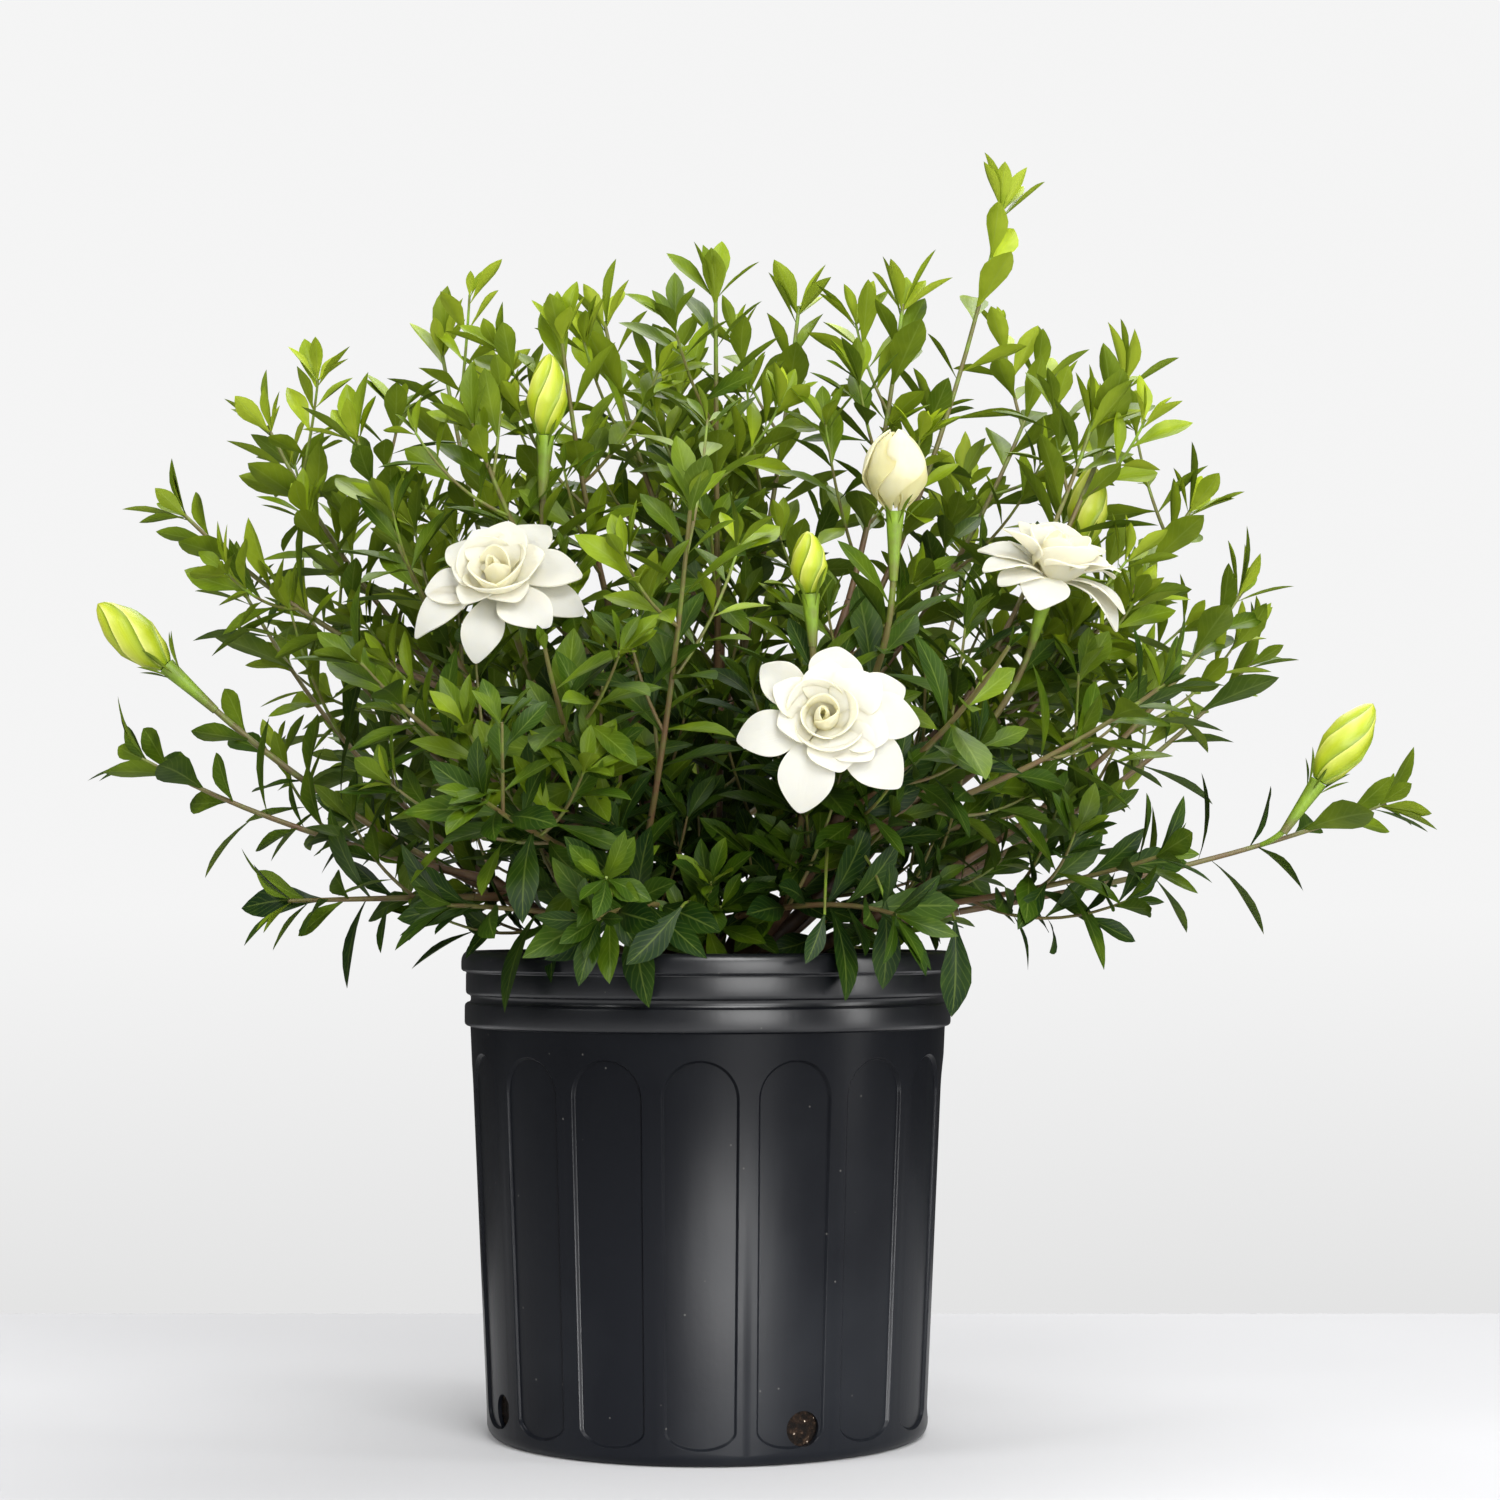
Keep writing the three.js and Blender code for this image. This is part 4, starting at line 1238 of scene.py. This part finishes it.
def add_twig(pieces, stem, place, turn, chance, limit):
    """A short side twig with its own pairs of leaves and tuft."""
    root = stem.point(place)
    lean = math.radians(chance.uniform(*twig_leans))
    way = stem.slope(place).normalized() * math.cos(lean) + stem.across(place, turn) * math.sin(lean)
    reach = chance.uniform(*twig_lengths)
    end = root + (way * twig_onward + up * twig_upward).normalized() * reach
    far_out = (end - bush_heart).length > limit - twig_margin
    if far_out or not is_free([end, root.lerp(end, twig_test)]):
        return
    twig = Stem(root, root + way * reach * 0.5, end)
    tone = tone_at(end, chance)
    pieces.append(lay_rod(twig, (0, 1), twig_radii, tones_with(twig_tones, tone)))
    first = chance.uniform(0, math.pi)
    for pair, t in enumerate(twig_leaf_places):
        length = chance.uniform(*twig_leaf_lengths)
        if pair == len(twig_leaf_places) - 1:
            length *= last_pair_share
        for side in range(2):
            lean = twig_leaf_lean - twig_leaf_lean_step * pair + drift(chance, twig_lean_drift)
            turn = first + pair * math.pi / 2 + side * math.pi + drift(chance, twig_leaf_drift)
            spot = t + side * twig_leaf_stagger
            try_leaf(pieces, twig, spot, turn, math.radians(lean), length, tone, chance, limit)
    add_tuft(pieces, twig, twig_tuft, tone, chance, limit)


def tone_at(place, chance):
    """Leaves are brightest high and far out, darkest low and inside, partly as painted shade."""
    outward = math.hypot(place.x, place.y) / bush_radius - 0.5
    tone = tone_start + tone_rise * youth_at(place.z) + outward_tone_and_painted_shade * outward
    tone += drift(chance, tone_drift)
    return min(max(tone, tone_limits[0]), tone_limits[1])


def dress_shoot(shoot):
    """The whole shoot: its green stem, the leaves of its solid, and the finer growth between."""
    stem, start = shoot["stem"], shoot["green_start"]
    chance = random.Random(shoot["number"])
    draws = Draws(shoot["number"] * solid_seed_step + solid_seed_start)
    end_tone = tone_at(stem.end, chance)
    limit = (stem.end - bush_heart).length + tuft_reach
    radii = stalk_radii if shoot["flower"] else green_radii
    pieces = [lay_rod(stem, (start, 1), radii, tones_with(green_tones, end_tone))]
    for pair in range(stalk_pairs if shoot["flower"] else len(leaf_lengths)):
        for side in range(2):
            leaf = solid_leaf(shoot, pair, side, draws)
            if leaf and not hides_flower(leaf["root"] + leaf["way"] * leaf["length"] * seen_share):
                tone = tone_at(leaf["root"], chance)
                twist = drift(chance, solid_leaf_twist)
                pieces.append(lay_leaf(**leaf, tone=tone, twist=twist, width=solid_leaf_width))
    reach = stalk_leaf_reach if shoot["flower"] else 1
    for number, share in enumerate(between_places):
        t = start + (1 - start) * share * reach
        tone = tone_at(stem.point(t), chance)
        for side in range(2):
            turn = math.radians(45 + 90 * number) + side * math.pi + drift(chance, fine_turn_drift)
            lean = between_lean - between_lean_step * number + drift(chance, fine_lean_drift)
            length = chance.uniform(*between_lengths)
            spot = t + side * between_stagger
            try_leaf(pieces, stem, spot, turn, math.radians(lean), length, tone, chance, limit)
    if not shoot["flower"]:
        add_tuft(pieces, stem, shoot_tuft, end_tone, chance, limit)
    count = twig_counts.get(shoot["number"], usual_twigs)
    for number, share in enumerate(twig_places[:count]):
        t = blend(start, 1, share) + drift(chance, twig_place_drift)
        turn = twig_turn * number + chance.uniform(0, twig_turn_draw)
        add_twig(pieces, stem, t, turn, chance, limit)
    dressed = join_pieces(pieces, shoot["node"] + "_leaves")
    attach(dressed, "root")
    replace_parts(dressed, shoot["node"])


for shoot in shoots:
    dress_shoot(shoot)


def nearest_limb(place):
    return min(range(len(limb_stems)), key=lambda i: (limb_stems[i].end - Vector(place)).length)


chance = random.Random(inner_seed)
inner = []
for limb_stem in limb_stems:
    for number in range(inner_twigs):
        t = inner_start + inner_stretch * number / (inner_twigs - 1)
        t += drift(chance, inner_place_drift)
        limit = (limb_stem.end - bush_heart).length + inner_reach
        turn = twig_turn * number + chance.uniform(0, twig_turn_draw)
        add_twig(inner, limb_stem, t, turn, chance, limit)
for root, tip, width in rim_leaves:
    hang = Vector(tip) - Vector(root)
    way = hang.normalized()
    to_front = Vector((0, -1, 0))
    face = (to_front - way * way.dot(to_front)).normalized()
    inner.append(lay_leaf(
        "grown", Vector(root), way, face, hang.length, rim_leaf_tone, rim_leaf_bend, rim_leaf_twist,
        width,
    ))
    limb_stem = limb_stems[nearest_limb(root)]
    rim_twig = rising_stem(limb_stem.point(rim_twig_start), Vector(root), rim_twig_rise, 0)
    inner.append(lay_rod(rim_twig, (0, 1), twig_radii, rim_twig_tones))
inner_growth = join_pieces(inner, "inner_twigs")
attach(inner_growth, "root")

# Blooms
# An open gardenia has thick cream-white petals in three whorls: the outer ones spread flat or bend
# back, the next stand cupped above them, and those in the heart are still wound round each other.
petal_columns = 8
petal_outline = [
    (0.0, 0.05), (0.10, 0.085), (0.20, 0.150), (0.31, 0.225), (0.42, 0.290), (0.52, 0.333),
    (0.61, 0.350), (0.70, 0.338), (0.78, 0.296), (0.85, 0.234), (0.915, 0.155), (0.965, 0.078),
    (1.0, 0.0),
]
petal_half = 0.35
petal_foot = 0.0022
petal_foot_rise = 0.0006
petal_thickness = 0.0007
petal_stops = [
    (0.0, (0.885, 0.860, 0.765)), (0.35, (0.91, 0.89, 0.77)), (0.7, (0.92, 0.88, 0.62)),
    (1.0, (0.88, 0.83, 0.44)),
]
petal_glow = 0.45
petal_ripple = (0.015, 0.04)
ripple_waves = 6
petal_tilt = 0.35
petal_tone_gain = 16
petal_tone_drift = 0.05
petal_tone_limit = 0.4
cup_depth = 0.22
cup_narrowing = 0.25
# From where a petal's sides and tip curl back, and how much
side_curl = (0.6, 0.05)
tip_curl = (0.82, 0.10)
# How far a petal may bend aside
middle_bend = 0.05
tip_bend = 0.11
# Each petal's tip, across, up and ahead of the throat, and its width, all in millimetres, and how
# far it is cupped and arched
bloom_petals = {
    "bloom_front": [
        ((-28.2, 22.4, 3), 21, 0.55, 0.10), ((8.3, 33.3, 1), 25, 0.20, 0.12),
        ((35, 15.5, 0), 21, 0.15, 0.14), ((41, 2.2, 0), 23, 0.18, 0.14),
        ((32, -30, -1), 25, 0.12, 0.12), ((-9.2, -41, -2), 25, 0.14, 0.14),
        ((-36.9, -10.7, 1), 22, 0.25, 0.10),
        ((-20, -5, 9), 22, 0.35, 0.10), ((6, -26, 8), 25, 0.28, 0.16), ((-22, 11, 11), 20, 0.45, 0.08),
        ((22, 18, 10), 25, 0.30, 0.14), ((28, -8, 8), 25, 0.25, 0.15), ((0, 24, 11), 22, 0.35, 0.1),
        ((18, -22, 9), 22, 0.3, 0.12),
    ],
    "bloom_left": [
        ((-38, -23, -6), 20, 0.20, 0.10), ((-3, -38, -11), 20, 0.15, 0.12),
        ((-33, -7.6, 2), 22, 0.60, 0.02), ((-24, 18, 8), 22, 0.3, 0.10),
        ((37, 6, 0), 24, 0.25, 0.12), ((24, -27, -2), 24, 0.20, 0.14),
        ((37, -12, -11), 22, 0.20, 0.12), ((16, 34, 3), 24, 0.2, 0.1),
        ((5, 25, 14), 27, 0.55, 0.16), ((22, 6, 12), 23, 0.45, 0.08), ((-20, 2, 12), 22, 0.45, 0.08),
        ((-12, -20, 9), 20, 0.35, 0.10), ((14, -19, 9), 21, 0.35, 0.10), ((-12, 19, 15), 22, 0.45, 0.1),
    ],
    "bloom_right": [
        ((-36, 7, -1), 21, 0.25, 0.12), ((-33, -4, -4), 18, 0.20, 0.12),
        ((-25, -21, -8), 24, 0.20, 0.16), ((25, -27, -6), 22, 0.25, 0.16),
        ((20, -30, -14), 20, 0.40, 0.16), ((38, 4, 2), 23, 0.20, 0.14), ((30, 24, 2), 23, 0.2, 0.12),
        ((6, 38, 2), 24, 0.2, 0.12), ((-24, 27, 2), 22, 0.2, 0.12), ((-27, 10, 18), 17, 0.45, 0.06),
        ((-8, 22, 19), 22, 0.40, 0.08), ((13, 17, 20), 23, 0.40, 0.08), ((25, 2, 16), 24, 0.35, 0.12),
        ((14, -20, 15), 23, 0.35, 0.12), ((-8, -21, 13), 22, 0.35, 0.12), ((30, -12, 9), 21, 0.25, 0.14),
    ],
}
# The wound petals of each heart: how many, the length and radius of the outermost and of the
# innermost, how far round each goes, and how much their mouths open
bloom_hearts = {
    "bloom_front": {"count": 8, "outer": (0.0150, 0.0128), "inner": (0.0170, 0.0026), "mouth": 0.35},
    "bloom_left": {"count": 8, "outer": (0.0190, 0.0125), "inner": (0.0200, 0.0026), "mouth": 0.45},
    "bloom_right": {"count": 9, "outer": (0.0235, 0.0135), "inner": (0.0235, 0.0028), "mouth": 0.35},
}
wound_droop = 0.10
heart_stations = [0, 0.18, 0.42, 0.68, 0.88, 1]
closed_heart = [0.70, 0.95, 1.0, 0.86, 0.52, 0.12]
open_heart = [(0.55, 0), (0.8, 0), (1, 0), (1, 0.5), (1, 1), (1, 1.2)]
mouth_pace = 1.6
wrap_pace = 3
heart_foot = -0.002
heart_tone = 0.56
heart_tone_loss = 0.28
heart_wrap = math.radians(155)
inner_wrap = math.radians(115)
heart_turn = math.radians(137.5)
heart_turn_drift = 0.2
heart_step = 0.14
heart_twist = 0.5


def flower_axes(name):
    """A flower's throat, and the ways that are right of it, above it and ahead of it."""
    facing = facing_of(flowers[name])
    level = up if abs(facing.z) < 0.95 else Vector((0, 1, 0))
    right = level.cross(facing).normalized()
    return Vector(flowers[name]["at"]), right, facing.cross(right), facing


def petal_material(name, stops, glow):
    """A petal's soft waxy skin, from the cream of its heart to the white of its spread tips."""
    material, tree, shader = plain_material(name, stops[0][1], 0.5)
    place = add_node(tree, "TexCoord").outputs
    across, along, _ = add_node(tree, "SeparateXYZ", {"Vector": place["UV"]}).outputs
    throat = remap(tree, along, (0.0, 0.5), (0.45, 0.0))
    blotches = noise(tree, place["Object"], 130.0, 3.0)
    creamy = blotched(tree, reckon(tree, "ADD", tone_of(tree), throat), blotches, 0.08)
    beside = reckon(tree, "ABSOLUTE", reckon(tree, "SUBTRACT", across, 0.5))
    outermost = reckon(tree, "MAXIMUM", reckon(tree, "MULTIPLY", beside, 2.0), along)
    rimmed = reckon(tree, "ADD", creamy, remap(tree, outermost, (0.85, 1.0), (0.0, 0.14)))
    colour = ramp(tree, rimmed, *stops)
    lengthwise = add_node(tree, "Mapping", {"Vector": place["UV"], "Scale": (34.0, 2.5, 1.0)})
    veins = noise(tree, lengthwise.outputs["Vector"], 1.0, 3.0)
    feed(shader, {
        "Base Color": colour,
        "Subsurface Weight": 0.5,
        "Subsurface Radius": (1.0, 0.85, 0.6),
        "Subsurface Scale": 0.005,
        "Normal": bump(tree, veins, 0.22, 0.0006),
    })
    let_light_through(tree, shader, colour, glow)
    return material


petal_white = petal_material("petal_white", petal_stops, petal_glow)
petal_master = add_blade(petal_columns, petal_outline)
shape_rows(petal_master, petal_outline, 0)
bpy.ops.object.shade_smooth()
petal_master.data.materials.append(petal_white)


def spread_petal(name, tip, width, cup, arch, chance):
    """A petal from the throat to its tip, cupped across and arched along its length."""
    at, right, top, facing = flower_axes(name)
    across, high, ahead = (value / 1000 for value in tip)
    out = (right * across + top * high).normalized()
    root = at + out * petal_foot + facing * (petal_foot_rise * ahead)
    end = at + right * across + top * high + facing * ahead
    span = end - root
    way = span.normalized()
    lift = math.atan2(way.dot(facing), way.dot(out))
    face = facing * math.cos(lift) - out * math.sin(lift)
    petal = copy_of(petal_master)
    x, y, _ = points_of(petal).T
    share = x / petal_half
    ripple = chance.uniform(*petal_ripple) * np.sin(ripple_waves * y + chance.uniform(0, 6)) * share
    tilt = drift(chance, petal_tilt)
    height = (
        arch * 4 * y * (1 - y) + cup * cup_depth * (share + tilt) ** 2
        - side_curl[1] * np.maximum(np.abs(share) - side_curl[0], 0)
        - tip_curl[1] * np.maximum(y - tip_curl[0], 0) + ripple
    )
    bend = drift(chance, middle_bend) * 4 * y * (1 - y)
    bend = bend + drift(chance, tip_bend) * y ** 4
    side = way.cross(face).normalized()
    places = (
        np.array(root)
        + np.outer(share * width / 2000 * (1 - cup_narrowing * cup * y) + bend * span.length, side)
        + np.outer(y * span.length, way)
        + np.outer(height * span.length, face)
    )
    move_points(petal, places)
    tone = ahead * petal_tone_gain + drift(chance, petal_tone_drift)
    set_tone(petal, min(max(tone, 0), petal_tone_limit))
    return petal


def wound_petal(name, foot, turn, wrap, length, radius, widths, step, twist, tone):
    """A petal wound round a flower's axis, one of its sides outside its neighbour."""
    at, right, top, facing = flower_axes(name)
    petal = copy_of(petal_master)
    x, y, _ = points_of(petal).T
    share = x / petal_half
    angle = turn + share * wrap / 2 + twist * y
    wide = radius * np.interp(y, heart_stations, widths) * (1 + step * share)
    places = (
        np.array(at)
        + np.outer(foot + y * length - wound_droop * length * share ** 2 * y, facing)
        + np.outer(wide * np.cos(angle), right)
        + np.outer(wide * np.sin(angle), top)
    )
    move_points(petal, places)
    set_tone(petal, tone)
    return petal


def close_petals(petals, name):
    """Joins a flower's petals and gives them their thickness."""
    flower = join_pieces(petals, name)
    add_modifier(flower, "SUBSURF", levels=1, render_levels=1)
    add_modifier(flower, "SOLIDIFY", thickness=petal_thickness, offset=0)
    pick(flower)
    bpy.ops.object.shade_smooth_by_angle(angle=math.radians(60))
    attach(flower, "root")
    return flower


for name, petals in bloom_petals.items():
    chance = random.Random(name)
    pieces = [spread_petal(name, *petal, chance) for petal in petals]
    heart = bloom_hearts[name]
    opened = [wide + heart["mouth"] * gain for wide, gain in open_heart]
    for number in range(heart["count"]):
        share = number / (heart["count"] - 1)
        length, radius = (blend(*ends, share) for ends in zip(heart["inner"], heart["outer"]))
        mouth = min(share * mouth_pace, 1)
        widths = [blend(shut, wide, mouth) for shut, wide in zip(closed_heart, opened)]
        turn = number * heart_turn + drift(chance, heart_turn_drift)
        wrap = heart_wrap + inner_wrap * max(1 - share * wrap_pace, 0)
        tone = heart_tone - heart_tone_loss * share
        pieces.append(wound_petal(
            name, heart_foot, turn, wrap, length, radius, widths, heart_step, heart_twist, tone,
        ))
    bloom = close_petals(pieces, name + "_petals")
    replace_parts(bloom, name)

# Opening bud
# The bud about to open is a tight cream-white oval. Broad petals overlap round it, one edge of
# each outside, and their tips are still wound together at the top.
opening_wrap = math.radians(118)
opening_widths = [0.26, 0.74, 1.0, 0.92, 0.62, 0.16]
core_widths = [0.22, 0.66, 0.92, 0.84, 0.52, 0.06]
inner_widths = [0.94 * width for width in opening_widths]
# For each whorl: how many petals, the first one's place and turn, the shares of the bud's length
# and radius, the widths, and the step, twist and tone
opening_whorls = [
    (3, 0, 0, 1.0, 0.98, opening_widths, 0.11, 0.8, 0.58),
    (3, 0, math.pi / 3, 0.965, 0.98, inner_widths, 0.11, 0.8, 0.90),
    (3, 0.001, 0.5, 0.94, 0.9, core_widths, 0.06, 1.1, 0.95),
]

opening_length, opening_radius = flowers["bud_opening"]["size"]
pieces = []
for count, foot, first, long, wide, widths, step, twist, tone in opening_whorls:
    for number in range(count):
        pieces.append(wound_petal(
            "bud_opening", foot, first + number * 2 * math.pi / count, opening_wrap,
            opening_length * long, opening_radius * wide, widths, step, twist, tone,
        ))
opening = close_petals(pieces, "bud_opening_petals")
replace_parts(opening, "bud_opening")

# Green buds
# Five closed buds stand at the ends of shoots and stalks. Each is a spindle of furled petals that
# wind round it, bright yellow-green with a pale streak along each petal's edge. Each petal darkens
# across towards where the next one laps over it, and that darkening is painted shade.
bud_sides = 48
bud_rings = 22
bud_petals = 6
bud_step = 0.11
bud_twist = 1.6
bud_stations = [0, 0.06, 0.18, 0.42, 0.68, 0.88, 0.96, 1]
bud_widths = [0.30, 0.50, 0.76, 1, 0.86, 0.50, 0.26, 0.0]
# Across each petal: a pale edge, then darker green down to painted shade where the next petal laps over
streak_and_shade_stops = [
    (0.0, (0.62, 0.62, 0.16)), (0.14, (0.50, 0.54, 0.07)), (0.5, (0.40, 0.46, 0.014)),
    (0.86, (0.29, 0.37, 0.010)), (1.0, (0.17, 0.24, 0.008)),
]
lengthwise_stops = [
    (0.0, (0.55, 0.72, 0.35)), (0.3, (0.95, 0.98, 0.80)), (0.8, (1, 1, 1)), (1.0, (0.9, 0.85, 0.6)),
]

bud_green, tree, shader = plain_material("bud_green", (0.36, 0.52, 0.04), 0.42)
place = add_node(tree, "TexCoord").outputs["UV"]
around, along, _ = add_node(tree, "SeparateXYZ", {"Vector": place}).outputs
# Painted shade under each lapped petal edge, and a pale streak at each outer edge
phase = reckon(tree, "FRACT", reckon(tree, "MULTIPLY", around, float(bud_petals)))
streaks_and_shade = ramp(tree, phase, *streak_and_shade_stops)
streaked = {"Fac": 1.0, "Color1": streaks_and_shade, "Color2": ramp(tree, along, *lengthwise_stops)}
drawn = add_node(tree, "Mapping", {"Vector": place, "Scale": (60.0, 4.0, 1.0)}).outputs["Vector"]
feed(shader, {
    "Base Color": add_node(tree, "MixRGB", streaked, blend_type="MULTIPLY").outputs["Color"],
    "Normal": bump(tree, noise(tree, drawn, 1.0, 3.0), 0.3, 0.0005),
})


def make_bud(name):
    """A closed bud: a ball drawn out to a spindle, with its petals' edges wound round it."""
    at, right, top, facing = flower_axes(name)
    length, radius = flowers[name]["size"]
    bud = new_mesh(
        bpy.ops.mesh.primitive_uv_sphere_add, segments=bud_sides, ring_count=bud_rings, radius=1,
    )
    x, y, z = points_of(bud).T
    share = (z + 1) / 2
    angle = np.arctan2(y, x)
    edge = np.mod(bud_petals * (angle / (2 * math.pi) + 1) + grid_hair, 1)
    around = np.hypot(x, y) > grid_hair
    wide = radius * np.interp(share, bud_stations, bud_widths) * (1 + bud_step * (0.5 - edge))
    wide = np.where(around, wide, 0)
    turn = angle + bud_twist * share
    move_points(
        bud,
        np.array(at) + np.outer(share * length, facing)
        + np.outer(wide * np.sin(turn), right) - np.outer(wide * np.cos(turn), top),
    )
    edit_all(bud)
    bpy.ops.mesh.normals_make_consistent(inside=False)
    bpy.ops.object.mode_set(mode="OBJECT")
    bpy.ops.object.shade_smooth_by_angle(angle=math.radians(40))
    bud.name = name + "_petals"
    bud.data.name = bud.name
    bud.data.materials.append(bud_green)
    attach(bud, "root")
    return bud


for name in ("bud_top_left", "bud_front", "bud_far_left", "bud_far_right"):
    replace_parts(make_bud(name), name)
make_bud(fused_bud)

# Flower bases
# Under each flower a green tube widens from its stalk and ends in thin pointed lobes. The bud at
# the far right stands on a stalk of its own at the side of its shoot.
tube_radii = (0.0019, 0.0042)
lobe_count = 6
lobe_length = 0.017
lobe_drop = 0.006
lobe_width = 0.30
lobe_leans = {"bloom": 62, "bud": 24}
opening_lean = 40
lobe_seat = 0.75
lobe_tone = 0.45
lobe_turn_drift = 0.15
lobe_lean_drift = 0.12
lobe_sizes = (0.85, 1.2)
side_stalk_radii = (0.0012, 0.0016)
side_stalk_tones = (0.75, 0.88)
tube_sink = 0.005
tube_tones = (0.66, 0.80)

for name, flower in flowers.items():
    at, right, top, facing = flower_axes(name)
    end, _ = tube_end(name)
    foot = stalk_foot(name)
    chance = random.Random(name + " base")
    tube = Stem(foot - facing * tube_sink, foot.lerp(end, 0.5), end)
    pieces = [lay_rod(tube, (0, 1), tube_radii, tube_tones)]
    lobe_lean = math.radians(opening_lean if name == "bud_opening" else lobe_leans[name.split("_")[0]])
    for number in range(lobe_count):
        turn = number * 2 * math.pi / lobe_count + drift(chance, lobe_turn_drift)
        out = right * math.cos(turn) + top * math.sin(turn)
        lean = lobe_lean + drift(chance, lobe_lean_drift)
        way = facing * math.cos(lean) + out * math.sin(lean)
        face = facing * math.sin(lean) - out * math.cos(lean)
        root = end - facing * lobe_drop + out * tube_radii[1] * lobe_seat
        length = lobe_length * chance.uniform(*lobe_sizes)
        pieces.append(lay_leaf("grown", root, way, face, length, lobe_tone, width=lobe_width))
    if name == side_bud["name"]:
        shoot = next(s for s in shoots if s["tip"] == side_bud["shoot_tip"])
        stalk = stalk_stem(shoot["stem"].point(side_bud["place"]), foot, facing, 0)
        pieces.append(lay_rod(stalk, (0, 1), side_stalk_radii, side_stalk_tones))
    base = join_pieces(pieces, name + "_base")
    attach(base, "root")
for master in [rod_master, petal_master, *leaf_masters.values()]:
    bpy.data.objects.remove(master)
